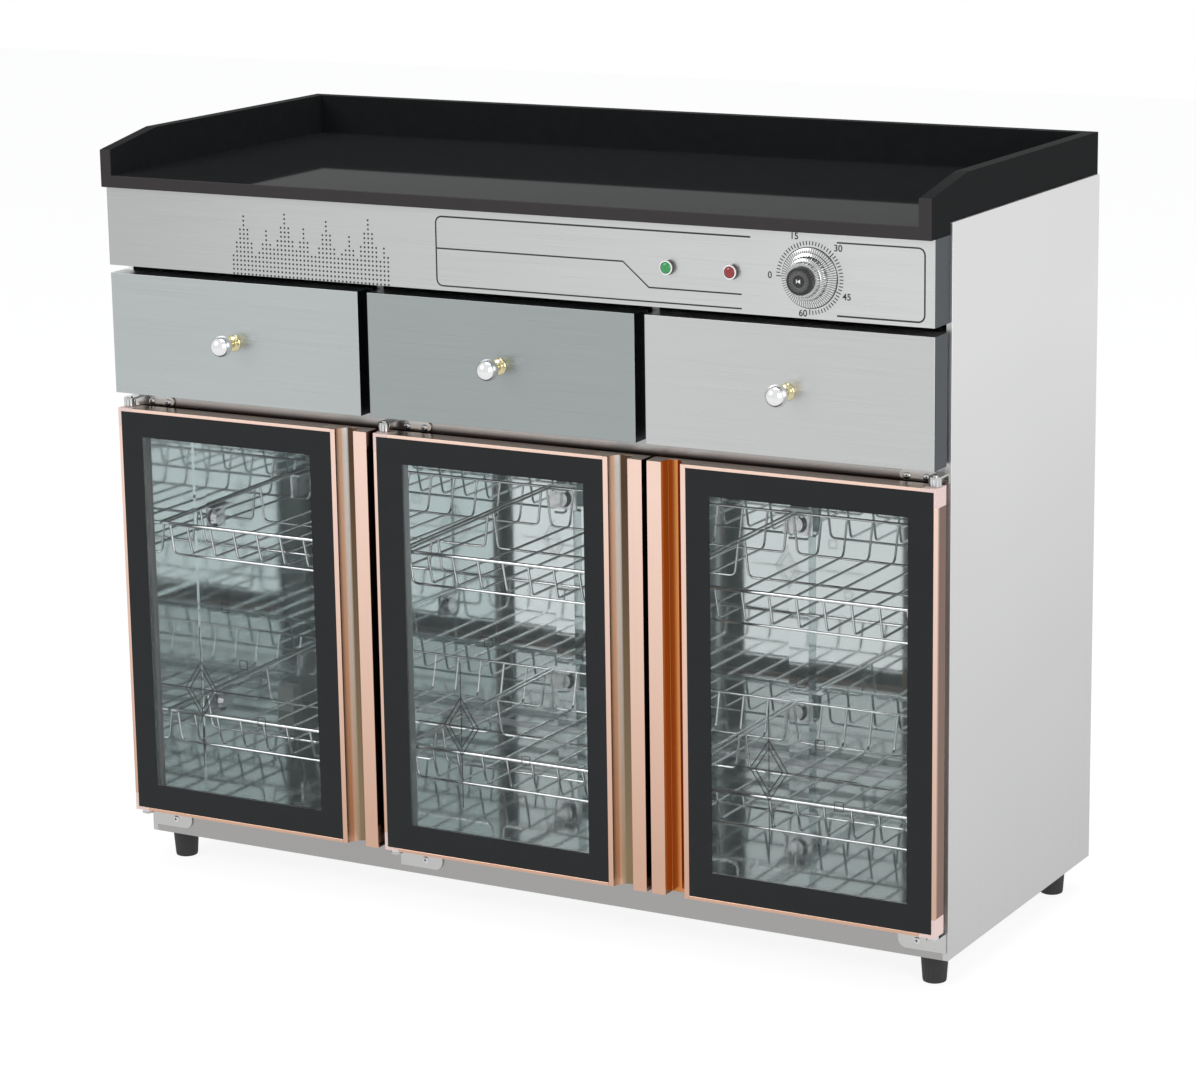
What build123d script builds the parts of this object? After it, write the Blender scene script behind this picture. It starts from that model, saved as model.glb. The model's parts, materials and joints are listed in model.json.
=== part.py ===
"""Dish sterilizer cabinet: a low stainless cabinet with a black worktop tray, a control
fascia, three drawers, and three glazed doors in front of one chamber with wire racks.

Millimetres. X runs along the front, +Z is up. The pieces are drawn with Y counted as depth
behind the plane of the drawer fronts, and save() then shifts them so that the origin lies
under the middle of the whole cabinet, on the floor.
"""

import os
from math import cos, radians, sin

from build123d import *

os.makedirs("parts", exist_ok=True)

# ---------------------------------------------------------------- driving sizes
SHEET = 1.2  # stainless sheet
SEAT = 0.3  # gap between pieces that rest or turn next to each other
SHAFT_FIT = 0.05  # radial clearance of pins and shafts in their holes

BODY_WIDTH = 1200.0  # outside of the side panels
BODY_DEPTH = 466.0  # side panels, front edge to back edge
FRONT_SPACE = 44.0  # how far the drawer fronts stand ahead of the side panels
SIDE_RETURN = 8.0  # folded edge of a side panel
LINER = 16.0  # side liner of the chamber
BACK_RETURN = 20.0  # folded edge of the back panel

FOOT_HEIGHT = 40.0
FOOT_TOP_R = 18.0
FOOT_BOTTOM_R = 15.0
FOOT_INSET = 14.0  # foot centre inside the side panel, beyond its own radius
BASE_HEIGHT = 60.0
DECK_HEIGHT = 46.0
DECK_TOP = 664.0
SIDE_TOP = 958.0  # top of the side panels

FRONT_INSET = 2.5  # fascia and drawers inside the side panels' faces
FASCIA_BOTTOM = 838.5
FASCIA_TOP = 943.5

DRAWER_GAP = 14.0
DRAWER_BOTTOM = 666.0
DRAWER_TOP = 828.0
DRAWER_FRONT_DEPTH = 36.0
BOX_WALL = 1.0
BOX_SIDE_GAP = 16.0  # drawer box side to the edge of its front
BOX_LENGTH = 404.0
BOX_BOTTOM = 676.0
BOX_TOP = 802.0
RUNNER_WIDTH = 9.5
RUNNER_HEIGHT = 18.0
RUNNER_Z = 738.0
GUIDE_LENGTH = 410.0
GUIDE_CLEAR = 2.5  # guide's open edge to the drawer box
DIVIDER = 10.0

TRAY_WALL = 16.0
TRAY_SLAB = 16.0
TRAY_SKIN = 2.0  # behind the fascia the tray is hollow, and open below
TRAY_NOSE = 12.0  # tray ahead of the fascia
TRAY_INSET = 3.0  # tray side inside the side panel's face
TRAY_FRONT_RISE = 49.5  # side wall above the tray's underside, at the front
TRAY_TOP = 1012.0
TRAY_SLOPE = 105.0  # length of the sloped front corner

DOOR_BOTTOM = 81.0
DOOR_TOP = 644.0
DOOR_FRONT = 5.0  # door face behind the drawer fronts
DOOR_THICK = 27.0
DOOR_SIDE = 1.0  # outer doors inside the side panels' faces
DOOR_GAPS = {"left": 11.0, "right": 6.5}  # on each side of the middle door
FRAME_LIP = 4.5
FRAME_BACK = 24.0  # frame behind the glass edge
GLASS = 4.0
GLASS_REBATE = 0.5  # glass face behind the frame's face
HANDLE_WIDTH = 55.0
HANDLE_LIP = 7.0
HANDLE_BAR = 20.5
HANDLE_DEEP = 20.0
HANDLE_HEEL = 18.0  # part of the handle profile behind the glass
CAP_WIDTH = 21.0
CAP_HEIGHT = 24.0
GASKET = 10.0
GASKET_INSET = 10.0

PIVOT_IN = 9.0  # pivot from the door's hinge edge
PIVOT_BACK = 15.0  # pivot behind the door's face
PIN_R = 4.0
PIN_DEPTH = 14.0
COLLAR_R = 7.5
BRACKET = 2.5
TOP_COLLAR = 9.7
BOTTOM_COLLAR = 4.7
LEAF_LENGTH = 66.0
TOP_LEAF = 13.0
BOTTOM_LEAF = 26.0
SCREW_R = 4.5
SCREW_HEAD = 1.6

STILE_WIDTH = 52.0
STILE_DEPTH = 12.0

RACK_FLOORS = {"upper": 434.0, "lower": 169.0}
RACK_FRONT = 62.0  # depth of the front rim
RACK_REAR = 450.0  # depth of the rear rim
RACK_LEAN = 12.0
FRONT_RISE = 42.0
REAR_RISE = 50.0
RACK_END_GAP = 3.0
WIRE_R = 1.7
RIM_R = 2.5  # front rim
REAR_RIM_R = 2.04
WIRE_CORNER = 1.15  # a squared wire's corner, against its radius
WIRE_COUNT = 9
CROSS_PLACES = (0.0, 0.2, 0.6, 1.0)  # along the rack's floor
WELD = 0.5

POST_WIDTH = 30.0
POST_DEPTH = 12.0
STRIP = 2.0  # flat bar on the chamber's side walls
REAR_POST_IN = 8.0  # rear posts inside the gap between two racks
SIDE_POST_D = 151.0
SIDE_HOOK_D = (186.0, 400.0)
HOOK_WIDTH = 44.0
HOOK_PLATE = 2.0
HOOK_DROP = 34.0
SIDE_HOOK_REACH = 14.0
BOSS_R = 14.0
BOSS_HEIGHT = 7.0

TUBE_R = 5.0
TUBE_END = 66.0  # from the chamber's side to the end of the tube
TUBE_D = 462.0
TUBE_Z = 128.0
HOLDER = 22.0

KNOB_BALL_R = 14.5
BALL_STEPS = 9  # rings of the ball
KNOB_REACH = 42.5
KNOB_BASE_R = 11.0
KNOB_BASE = 3.0
KNOB_NECK_R = 5.0

DIAL_FROM_END = 163.5  # dial's axis from the right end of the fascia
DIAL_Z = 888.0
DIAL_R = 36.0
DIAL_REACH = 22.0
CAP_R = 16.5
CAP_REACH = 30.0
SHAFT_R = 3.0
SWITCH_R = 24.0
SWITCH_DEPTH = 34.0

LAMPS_FROM_END = {"green": 354.5, "red": 267.5}
LAMP_Z = 889.0
BEZEL_R = 8.5
LENS_R = 6.0
LAMP_STEM = 22.0

GLAND_FROM_EDGE = 130.0
GLAND_Z = 132.0
GLAND_R = 11.0
GLAND_BORE_R = 4.5

# ---------------------------------------------------------------- places that follow
HALF = BODY_WIDTH / 2
BACK = FRONT_SPACE + BODY_DEPTH
CHAMBER_BACK = BACK - BACK_RETURN
CORE = HALF - SIDE_RETURN  # half width between the side panels' folded edges
CHAMBER = CORE - LINER  # half width of the chamber
BASE_TOP = FOOT_HEIGHT + BASE_HEIGHT
DECK_BOTTOM = DECK_TOP - DECK_HEIGHT
FRONT_Y = -(BACK - KNOB_REACH) / 2  # the front plane in the finished frame
FRONT_WIDTH = BODY_WIDTH - 2 * FRONT_INSET
DIAL_X = FRONT_WIDTH / 2 - DIAL_FROM_END
LAMP_XS = {colour: FRONT_WIDTH / 2 - inset for colour, inset in LAMPS_FROM_END.items()}
GLAND_X = HALF - GLAND_FROM_EDGE

DRAWER_WIDTH = (FRONT_WIDTH - 2 * DRAWER_GAP) / 3
DRAWER_PITCH = DRAWER_WIDTH + DRAWER_GAP
DRAWER_XS = {"left": -DRAWER_PITCH, "middle": 0.0, "right": DRAWER_PITCH}
GUIDE_DEEP = (DRAWER_GAP - DIVIDER) / 2 + BOX_SIDE_GAP - GUIDE_CLEAR

DOOR_BACK = DOOR_FRONT + DOOR_THICK
GLASS_FACE = DOOR_FRONT + GLASS_REBATE
GLASS_SEAT = GLASS_FACE + GLASS
PIVOT_D = DOOR_FRONT + PIVOT_BACK
DOOR_EDGE = HALF - DOOR_SIDE
DOOR_WIDTH = (2 * DOOR_EDGE - sum(DOOR_GAPS.values())) / 3
HANDLE_START = DOOR_WIDTH - HANDLE_WIDTH
MID_EDGE = DOOR_WIDTH + DOOR_GAPS["left"] - DOOR_EDGE
# hinge edge of each door, and the way its free edge lies
DOORS = {
    "left": (-DOOR_EDGE, 1),
    "middle": (MID_EDGE, 1),
    "right": (DOOR_EDGE, -1),
}
STILE_XS = {
    "left": MID_EDGE - DOOR_GAPS["left"] / 2,
    "right": MID_EDGE + DOOR_WIDTH + DOOR_GAPS["right"] / 2,
}

RACK_CELL = 2 * CHAMBER / 3
RACK_WIDTH = RACK_CELL - 2 * RACK_END_GAP
RACK_XS = {"left": -RACK_CELL, "middle": 0.0, "right": RACK_CELL}
WIRE_PITCH = RACK_WIDTH / (WIRE_COUNT + 1)
REAR_POST_X = RACK_CELL / 2 - REAR_POST_IN
TUBE_LENGTH = 2 * (CHAMBER - TUBE_END)


# ---------------------------------------------------------------- helpers
def save(name, shape):
    """Shifts a piece from depths behind the front plane to the finished frame."""
    export_step(Pos(0, FRONT_Y, 0) * shape, f"parts/{name}.step")


def block(x0, x1, d0, d1, z0, z1):
    middle = Pos((x0 + x1) / 2, (d0 + d1) / 2, (z0 + z1) / 2)
    return middle * Box(abs(x1 - x0), abs(d1 - d0), abs(z1 - z0))


def pan(solid, axis, last=True, wall=SHEET):
    """A folded sheet pan: the block hollowed, and open at one end of an axis."""
    faces = solid.faces().sort_by(axis)
    return offset(solid, amount=-wall, openings=faces[-1 if last else 0])


def group(shapes):
    """Several loose solids that share one name."""
    return Compound([solid for shape in shapes for solid in shape.solids()])


def along_depth(x, z, depth=0.0):
    """A plane across the depth axis, seen from the front, for turned pieces and holes."""
    return Plane(origin=(x, depth, z), x_dir=(1, 0, 0), z_dir=(0, 1, 0))


def rod(x, z, d0, d1, radius):
    """A round bar along the depth axis."""
    return extrude(along_depth(x, z, d0) * Circle(radius), d1 - d0)


def turned(points, x, z):
    """A turned piece on an axis along the depth: points are (radius, depth)."""
    outline = Plane.XY * make_face(Polyline(*points, close=True))
    return Pos(x, 0, z) * revolve(outline, Axis.Y)


def upright(x, d, points):
    """A turned piece on a vertical axis: points are (radius, height)."""
    outline = Plane.XZ * make_face(Polyline(*points, close=True))
    return Pos(x, d, 0) * revolve(outline, Axis.Z)


# ---------------------------------------------------------------- carcass
def side_panel(side):
    outer = side * HALF
    inner = side * CORE
    box = block(inner, outer, FRONT_SPACE, BACK, FOOT_HEIGHT, SIDE_TOP)
    return pan(box, Axis.X, last=side < 0)


def side_liner(side):
    box = block(side * CHAMBER, side * CORE, FRONT_SPACE, CHAMBER_BACK, BASE_TOP, DECK_BOTTOM)
    return pan(box, Axis.X, last=side > 0)


def back_panel():
    box = block(-CORE, CORE, CHAMBER_BACK, BACK, FOOT_HEIGHT, FASCIA_TOP)
    sheet = pan(box, Axis.Y)
    hole = rod(GLAND_X, GLAND_Z, CHAMBER_BACK - 1, CHAMBER_BACK + SHEET + 1, GLAND_R * 0.7)
    return sheet - hole


def foot_places():
    inset = FOOT_TOP_R + FOOT_INSET
    for x in (-HALF + inset, HALF - inset):
        for d in (FRONT_SPACE + inset, BACK - inset - BACK_RETURN):
            yield x, d


def base_panel():
    box = block(-CORE, CORE, FRONT_SPACE, CHAMBER_BACK, FOOT_HEIGHT, BASE_TOP)
    base = pan(box, Axis.Z, last=False)
    reach = FOOT_TOP_R * 2 + FOOT_INSET * 2
    for x, d in foot_places():
        side = 1 if x > 0 else -1
        front = FRONT_SPACE if d < BACK / 2 else CHAMBER_BACK - reach
        base += block(
            side * CORE, side * (CORE - reach), front, front + reach,
            FOOT_HEIGHT, FOOT_HEIGHT + SHEET,
        )
    return base


def drawer_deck():
    box = block(-CORE, CORE, FRONT_SPACE, CHAMBER_BACK, DECK_BOTTOM, DECK_TOP)
    return pan(box, Axis.Z)


def front_stile(side):
    """A channel behind the gap between two doors, which both gaskets close on."""
    middle = STILE_XS[side]
    half = STILE_WIDTH / 2
    back = FRONT_SPACE + STILE_DEPTH
    box = block(middle - half, middle + half, FRONT_SPACE, back, BASE_TOP, DECK_BOTTOM)
    return pan(box, Axis.Y)


def drawer_divider(side):
    middle = side * DRAWER_PITCH / 2
    half = DIVIDER / 2
    box = block(middle - half, middle + half, FRONT_SPACE, CHAMBER_BACK, DECK_TOP, FASCIA_TOP)
    return pan(box, Axis.Y)


def foot(x, d):
    points = (
        (0, 0), (FOOT_BOTTOM_R - 2, 0), (FOOT_BOTTOM_R, 2), (FOOT_TOP_R, FOOT_HEIGHT - 3),
        (FOOT_TOP_R, FOOT_HEIGHT), (0, FOOT_HEIGHT),
    )
    return upright(x, d, points)


# ---------------------------------------------------------------- worktop tray
def worktop_tray():
    under = FASCIA_TOP
    floor = under + TRAY_SLAB
    half = HALF - TRAY_INSET
    inner = CORE - SIDE_RETURN - SEAT
    step = FRONT_SPACE - SEAT
    slab = block(-half, half, -TRAY_NOSE, step, under, floor)
    slab += block(-inner, inner, step, BACK, under, floor)
    outline = Polyline(
        (-TRAY_NOSE, under), (-TRAY_NOSE, under + TRAY_FRONT_RISE),
        (TRAY_SLOPE - TRAY_NOSE, TRAY_TOP), (BACK, TRAY_TOP), (BACK, SIDE_TOP),
        (step, SIDE_TOP), (step, under), close=True,
    )
    cheek = extrude(Plane.YZ * make_face(outline), TRAY_WALL)
    inner_edge = half - TRAY_WALL
    rib = block(inner_edge, inner, step, BACK, under, SIDE_TOP)
    right = Pos(inner_edge, 0, 0) * cheek + rib
    tray = slab + right + mirror(right, Plane.YZ)
    tray += block(-inner_edge, inner_edge, BACK - TRAY_WALL, BACK, under, TRAY_TOP)
    front = tray.edges().filter_by(Axis.X).filter_by(
        lambda e: abs(e.center().Y + TRAY_NOSE) < 0.01 and e.center().Z < floor + 0.01
    )
    tray = fillet(front, 1.5)
    clear = inner - TRAY_SKIN
    tray -= block(-clear, clear, step, BACK - TRAY_WALL, under - 1, floor - TRAY_SKIN)
    return tray - block(-clear, clear, BACK - TRAY_WALL + TRAY_SKIN, BACK - TRAY_SKIN,
                        under - 1, TRAY_TOP - TRAY_SKIN)


# ---------------------------------------------------------------- control fascia
def control_fascia():
    half = FRONT_WIDTH / 2
    box = block(-half, half, 0, FRONT_SPACE, FASCIA_BOTTOM, FASCIA_TOP)
    fascia = pan(box, Axis.Y)
    cuts = Sketch() + Pos(DIAL_X, -DIAL_Z) * Circle(SHAFT_R + 1)
    for x in LAMP_XS.values():
        cuts += Pos(x, -LAMP_Z) * Circle(LENS_R - 1 + SHAFT_FIT)
    fascia -= extrude(along_depth(0, 0, -1) * cuts, SHEET + 2)
    return fascia


def timer_switch():
    start = SHEET
    body = rod(DIAL_X, DIAL_Z, start, start + SWITCH_DEPTH, SWITCH_R)
    body += block(
        DIAL_X - SWITCH_R * 0.6, DIAL_X + SWITCH_R * 0.6, start + SWITCH_DEPTH * 0.6,
        start + SWITCH_DEPTH, DIAL_Z - SWITCH_R - 8, DIAL_Z + SWITCH_R + 8,
    )
    bore = rod(DIAL_X, DIAL_Z, start - 1, start + 14, SHAFT_R + SHAFT_FIT)
    return body - bore


def timer_dial():
    points = (
        (0, SHEET + 12), (SHAFT_R, SHEET + 12), (SHAFT_R, -SEAT), (DIAL_R, -SEAT),
        (DIAL_R, -2.5), (DIAL_R * 0.8, -5), (DIAL_R * 0.72, -13), (DIAL_R * 0.6, -15),
        (DIAL_R * 0.56, -DIAL_REACH), (0, -DIAL_REACH),
    )
    return turned(points, DIAL_X, DIAL_Z)


def timer_cap():
    points = (
        (0, -DIAL_REACH), (CAP_R, -DIAL_REACH), (CAP_R, -CAP_REACH + 1.5),
        (CAP_R - 1.5, -CAP_REACH), (0, -CAP_REACH),
    )
    cap = turned(points, DIAL_X, DIAL_Z)
    pointer = Plane(origin=(DIAL_X, -CAP_REACH + 0.8, DIAL_Z), x_dir=(1, 0, 0), z_dir=(0, -1, 0))
    arrow = make_face(Polyline((-9, 0), (-2, 4.5), (-2, -4.5), close=True))
    return cap - extrude(pointer * arrow, 2)


def lamp_bezel(x):
    points = (
        (LENS_R + SEAT, 0), (BEZEL_R, 0), (BEZEL_R, -1.2), (BEZEL_R - 1.2, -3),
        (LENS_R + SEAT, -3),
    )
    return turned(points, x, LAMP_Z)


def lamp_lens(x):
    stem = LENS_R - 1
    points = (
        (0, LAMP_STEM), (stem, LAMP_STEM), (stem, 0), (LENS_R, 0), (LENS_R, -3.5),
        (LENS_R * 0.7, -5.4), (0, -6),
    )
    return turned(points, x, LAMP_Z)


# ---------------------------------------------------------------- drawers
def drawer_front(x):
    half = DRAWER_WIDTH / 2
    box = block(x - half, x + half, 0, DRAWER_FRONT_DEPTH, DRAWER_BOTTOM, DRAWER_TOP)
    edges = box.edges().filter_by(Axis.Z).group_by(Axis.Y)[0]
    return pan(fillet(edges, 1.5), Axis.Y)


def drawer_box(x):
    half = DRAWER_WIDTH / 2 - BOX_SIDE_GAP
    front = DRAWER_FRONT_DEPTH
    box = pan(block(x - half, x + half, front, front + BOX_LENGTH, BOX_BOTTOM, BOX_TOP),
              Axis.Z, wall=BOX_WALL)
    plate = DRAWER_WIDTH / 2 - SHEET / 2
    box += block(x - plate, x + plate, front, front + SHEET,
                 DRAWER_BOTTOM + SHEET / 2, DRAWER_TOP - SHEET / 2)
    low = RUNNER_Z - RUNNER_HEIGHT / 2
    for side in (-1, 1):
        inner = x + side * half
        box += block(inner, inner + side * RUNNER_WIDTH, FRONT_SPACE + 8,
                     front + BOX_LENGTH, low, low + RUNNER_HEIGHT)
    return box


def drawer_knob(x):
    z = (DRAWER_BOTTOM + DRAWER_TOP) / 2
    points = [(0, 0), (KNOB_BASE_R, 0), (KNOB_BASE_R, 1 - KNOB_BASE), (KNOB_NECK_R, -KNOB_BASE)]
    for i in range(2, BALL_STEPS):
        angle = radians(180 * i / BALL_STEPS)
        depth = KNOB_BALL_R * (1 + cos(angle)) - KNOB_REACH
        points.append((KNOB_BALL_R * sin(angle), depth))
    return turned([*points, (0, -KNOB_REACH)], x, z)


def guide(mount, side):
    """A channel on a divider or side panel. It opens towards the drawer's runner."""
    low = RUNNER_Z - RUNNER_HEIGHT / 2 - SEAT - SHEET
    high = RUNNER_Z + RUNNER_HEIGHT / 2 + 2 * SEAT + SHEET
    open_edge = mount - side * GUIDE_DEEP
    box = block(mount, open_edge, FRONT_SPACE + 2, FRONT_SPACE + 2 + GUIDE_LENGTH, low, high)
    channel = pan(box, Axis.X, last=side < 0)
    clear = block(mount - side * SHEET, open_edge, FRONT_SPACE, FRONT_SPACE + 2 + SHEET,
                  low + SHEET, high - SHEET)
    return channel - clear


def drawer_guides():
    for x in DRAWER_XS.values():
        for side in (-1, 1):
            mount = x + side * (DRAWER_PITCH / 2 - DIVIDER / 2)
            wall = side * (HALF - SHEET)
            yield guide(min(abs(mount), abs(wall)) * (1 if mount > 0 else -1), side)


# ---------------------------------------------------------------- doors
def place_door(shape, door):
    """Moves a piece drawn with its hinge edge at X = 0 to its door."""
    edge, way = DOORS[door]
    return Pos(edge, 0, 0) * (shape if way > 0 else mirror(shape, Plane.YZ))


def corner_blocks():
    for low in (DOOR_BOTTOM, DOOR_TOP - CAP_HEIGHT):
        yield block(0, CAP_WIDTH, DOOR_FRONT, DOOR_BACK, low, low + CAP_HEIGHT)


def frame_ring():
    """The door frame's three rails, before its corners are cut for the caps."""
    heel = HANDLE_START - HANDLE_HEEL
    back = block(0, heel, GLASS_SEAT, DOOR_BACK, DOOR_BOTTOM, DOOR_TOP)
    back -= block(FRAME_BACK, heel + 1, GLASS_SEAT - 1, DOOR_BACK + 1,
                  DOOR_BOTTOM + FRAME_BACK, DOOR_TOP - FRAME_BACK)
    lip = block(0, HANDLE_START, DOOR_FRONT, GLASS_SEAT, DOOR_BOTTOM, DOOR_TOP)
    lip -= block(FRAME_LIP, HANDLE_START + 1, DOOR_FRONT - 1, GLASS_SEAT + 1,
                 DOOR_BOTTOM + FRAME_LIP, DOOR_TOP - FRAME_LIP)
    ring = back + lip
    for low in (DOOR_BOTTOM, DOOR_TOP):
        ring -= Pos(PIVOT_IN, PIVOT_D, low) * Cylinder(PIN_R + SHAFT_FIT, 2 * (PIN_DEPTH + 1))
    return ring


def door_frame():
    ring = frame_ring()
    for corner in corner_blocks():
        ring -= corner
    return ring


def corner_caps():
    ring = frame_ring()
    return group([(ring & corner).solid() for corner in corner_blocks()])


def handle_profile():
    """An extruded pull: a lip at the glass, a finger channel and a flat bar."""
    start = HANDLE_START
    lip = start + HANDLE_LIP
    bar = DOOR_WIDTH - HANDLE_BAR
    deep = DOOR_FRONT + HANDLE_DEEP
    edge = 1.5
    run = bar - lip
    outline = [
        Line((start - HANDLE_HEEL, DOOR_BACK), (start - HANDLE_HEEL, GLASS_SEAT)),
        Line((start - HANDLE_HEEL, GLASS_SEAT), (start, GLASS_SEAT)),
        Line((start, GLASS_SEAT), (start, DOOR_FRONT)),
        Line((start, DOOR_FRONT), (lip, DOOR_FRONT)),
        ThreePointArc(
            (lip, DOOR_FRONT), (lip + run * 0.13, DOOR_FRONT + HANDLE_DEEP * 0.6),
            (lip + run * 0.5, deep),
        ),
        Line((lip + run * 0.5, deep), (bar, deep)),
        Line((bar, deep), (bar, DOOR_FRONT + edge)),
        Line((bar, DOOR_FRONT + edge), (bar + edge, DOOR_FRONT)),
        Line((bar + edge, DOOR_FRONT), (DOOR_WIDTH - edge, DOOR_FRONT)),
        Line((DOOR_WIDTH - edge, DOOR_FRONT), (DOOR_WIDTH, DOOR_FRONT + edge)),
        Line((DOOR_WIDTH, DOOR_FRONT + edge), (DOOR_WIDTH, DOOR_BACK)),
        Line((DOOR_WIDTH, DOOR_BACK), (start - HANDLE_HEEL, DOOR_BACK)),
    ]
    face = make_face(Curve() + outline)
    return Pos(0, 0, DOOR_BOTTOM) * extrude(face, DOOR_TOP - DOOR_BOTTOM)


def door_glass():
    edge = FRAME_LIP + SEAT
    return block(edge, HANDLE_START - SEAT, GLASS_FACE, GLASS_SEAT,
                 DOOR_BOTTOM + edge, DOOR_TOP - edge)


def door_gasket():
    first, last = GASKET_INSET, DOOR_WIDTH - GASKET_INSET / 2
    low, high = DOOR_BOTTOM + GASKET_INSET / 2, DOOR_TOP - GASKET_INSET / 2
    face = FRONT_SPACE - SEAT
    ring = block(first, last, DOOR_BACK, face, low, high)
    return ring - block(first + GASKET, last - GASKET, DOOR_BACK - 1, face + 1,
                        low + GASKET, high - GASKET)


# ---------------------------------------------------------------- hinges
def bracket(top):
    """An angle bracket, drawn for a hinge edge at X = 0: a leaf and an ear for the pin."""
    if top:
        ear_low = DOOR_TOP + SEAT + TOP_COLLAR
        leaf_low, leaf_high = ear_low + BRACKET - TOP_LEAF, ear_low + BRACKET
        screws = (30.0, 56.0)
    else:
        ear_low = DOOR_BOTTOM - SEAT - BOTTOM_COLLAR - BRACKET
        leaf_low, leaf_high = ear_low + BRACKET - BOTTOM_LEAF, ear_low + BRACKET
        screws = (40.0,)
    rise = leaf_high - leaf_low
    face = FRONT_SPACE - BRACKET
    leaf = block(1, LEAF_LENGTH, face, FRONT_SPACE, leaf_low, leaf_high)
    far = leaf.edges().filter_by(Axis.Y).group_by(Axis.X)[-1]
    leaf = fillet(far, rise * 0.45)
    width = PIVOT_IN * 2 - 2
    ear = block(1, 1 + width, PIVOT_D, FRONT_SPACE, ear_low, ear_low + BRACKET)
    ear += Pos(PIVOT_IN, PIVOT_D, ear_low + BRACKET / 2) * Cylinder(width / 2, BRACKET)
    ear -= Pos(PIVOT_IN, PIVOT_D, ear_low) * Cylinder(PIN_R + SHAFT_FIT, 4 * BRACKET)
    return leaf + ear, [(x, (leaf_low + leaf_high - BRACKET) / 2) for x in screws]


def hinge_pin(top):
    if top:
        door, collar = DOOR_TOP + SEAT, DOOR_TOP + SEAT + TOP_COLLAR
        tip, tail = DOOR_TOP - PIN_DEPTH, collar + BRACKET + 1.5
    else:
        door, collar = DOOR_BOTTOM - SEAT, DOOR_BOTTOM - SEAT - BOTTOM_COLLAR
        tip, tail = DOOR_BOTTOM + PIN_DEPTH, collar - BRACKET - 1.5
    points = (
        (0, tip), (PIN_R, tip), (PIN_R, door), (COLLAR_R, door), (COLLAR_R, collar),
        (PIN_R, collar), (PIN_R, tail), (0, tail),
    )
    return upright(PIVOT_IN, PIVOT_D, points)


# ---------------------------------------------------------------- racks
def wire(points, radius):
    """A bent wire of four flat sides through the points, with mitred bends."""
    path = Polyline(*points)
    start = Plane(origin=path @ 0, z_dir=path % 0)
    return sweep(start * RegularPolygon(radius * WIRE_CORNER, 4), path=path, transition=Transition.RIGHT)


def rim_height(depth):
    """The side rims climb from the front rim to the rear one."""
    share = (depth - RACK_FRONT) / (RACK_REAR - RACK_FRONT)
    return FRONT_RISE + (REAR_RISE - FRONT_RISE) * share


def rack():
    """A welded wire basket, drawn about X = 0 with its floor at Z = 0."""
    half = RACK_WIDTH / 2 - WIRE_R
    low_front = RACK_FRONT + RACK_LEAN - 1
    low_rear = RACK_REAR - RACK_LEAN
    parts = []
    for i in range(WIRE_COUNT):
        x = (i - (WIRE_COUNT - 1) / 2) * WIRE_PITCH
        points = [
            (x, RACK_FRONT, FRONT_RISE), (x, low_front, 0), (x, low_rear, 0),
            (x, RACK_REAR, REAR_RISE),
        ]
        parts.append(wire(points, WIRE_R))
    under = -2 * WIRE_R + WELD
    for share in CROSS_PLACES:
        d = low_front + (low_rear - low_front) * share
        lean = half - RACK_LEAN / 2
        rise = rim_height(d)
        points = [(-half, d, rise), (-lean, d, under), (lean, d, under), (half, d, rise)]
        parts.append(wire(points, WIRE_R))
    for side in (-1, 1):
        points = [(side * half, d, rim_height(d)) for d in (RACK_FRONT, RACK_REAR)]
        parts.append(wire(points, WIRE_R))
    rim = half + WIRE_R
    parts.append(wire([(-rim, RACK_FRONT, FRONT_RISE), (rim, RACK_FRONT, FRONT_RISE)], RIM_R))
    parts.append(wire([(-rim, RACK_REAR, REAR_RISE), (rim, RACK_REAR, REAR_RISE)], REAR_RIM_R))
    return parts[0].fuse(*parts[1:])


def hook(reach, boss=True):
    """A rack hook, drawn on a wall at Y = 0 and reaching to +Y, with its shelf top at Z = 0."""
    half = HOOK_WIDTH / 2
    plate = block(-half, half, 0, HOOK_PLATE, -HOOK_DROP, 0)
    plate += block(-half, half, 0, reach, -HOOK_PLATE, 0)
    if boss:
        seat = Plane(origin=(0, HOOK_PLATE, -HOOK_DROP / 2 - 1), x_dir=(1, 0, 0), z_dir=(0, 1, 0))
        plate += extrude(seat * Circle(BOSS_R), BOSS_HEIGHT, taper=25)
    return plate


def rack_hooks():
    post_face = CHAMBER_BACK - POST_DEPTH
    for floor in RACK_FLOORS.values():
        rear = floor + REAR_RISE - REAR_RIM_R * WIRE_CORNER - SEAT
        front = floor + FRONT_RISE - RIM_R * WIRE_CORNER - SEAT
        for x in (-REAR_POST_X, REAR_POST_X):
            yield Pos(x, post_face, rear) * Rot(0, 0, 180) * hook(post_face - RACK_REAR + 4)
        ledge = hook(RACK_FRONT - FRONT_SPACE - 8, boss=False)
        for x in STILE_XS.values():
            yield Pos(x, FRONT_SPACE + STILE_DEPTH, front) * ledge
        for d in SIDE_HOOK_D:
            side_rim = floor + rim_height(d - HOOK_WIDTH / 2) - WIRE_R * WIRE_CORNER - SEAT
            holder = hook(SIDE_HOOK_REACH, boss=d < BACK / 2)
            for side in (-1, 1):
                yield Pos(side * CHAMBER, d, side_rim) * Rot(0, 0, side * 90) * holder


def rack_posts():
    half = POST_WIDTH / 2
    for x in (-REAR_POST_X, REAR_POST_X):
        post = block(x - half, x + half, CHAMBER_BACK - POST_DEPTH, CHAMBER_BACK,
                     BASE_TOP, DECK_BOTTOM)
        yield pan(post, Axis.Y)
    for side in (-1, 1):
        yield block(side * CHAMBER, side * (CHAMBER - STRIP), SIDE_POST_D - half * 0.8,
                    SIDE_POST_D + half * 0.8, BASE_TOP, DECK_BOTTOM)


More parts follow.
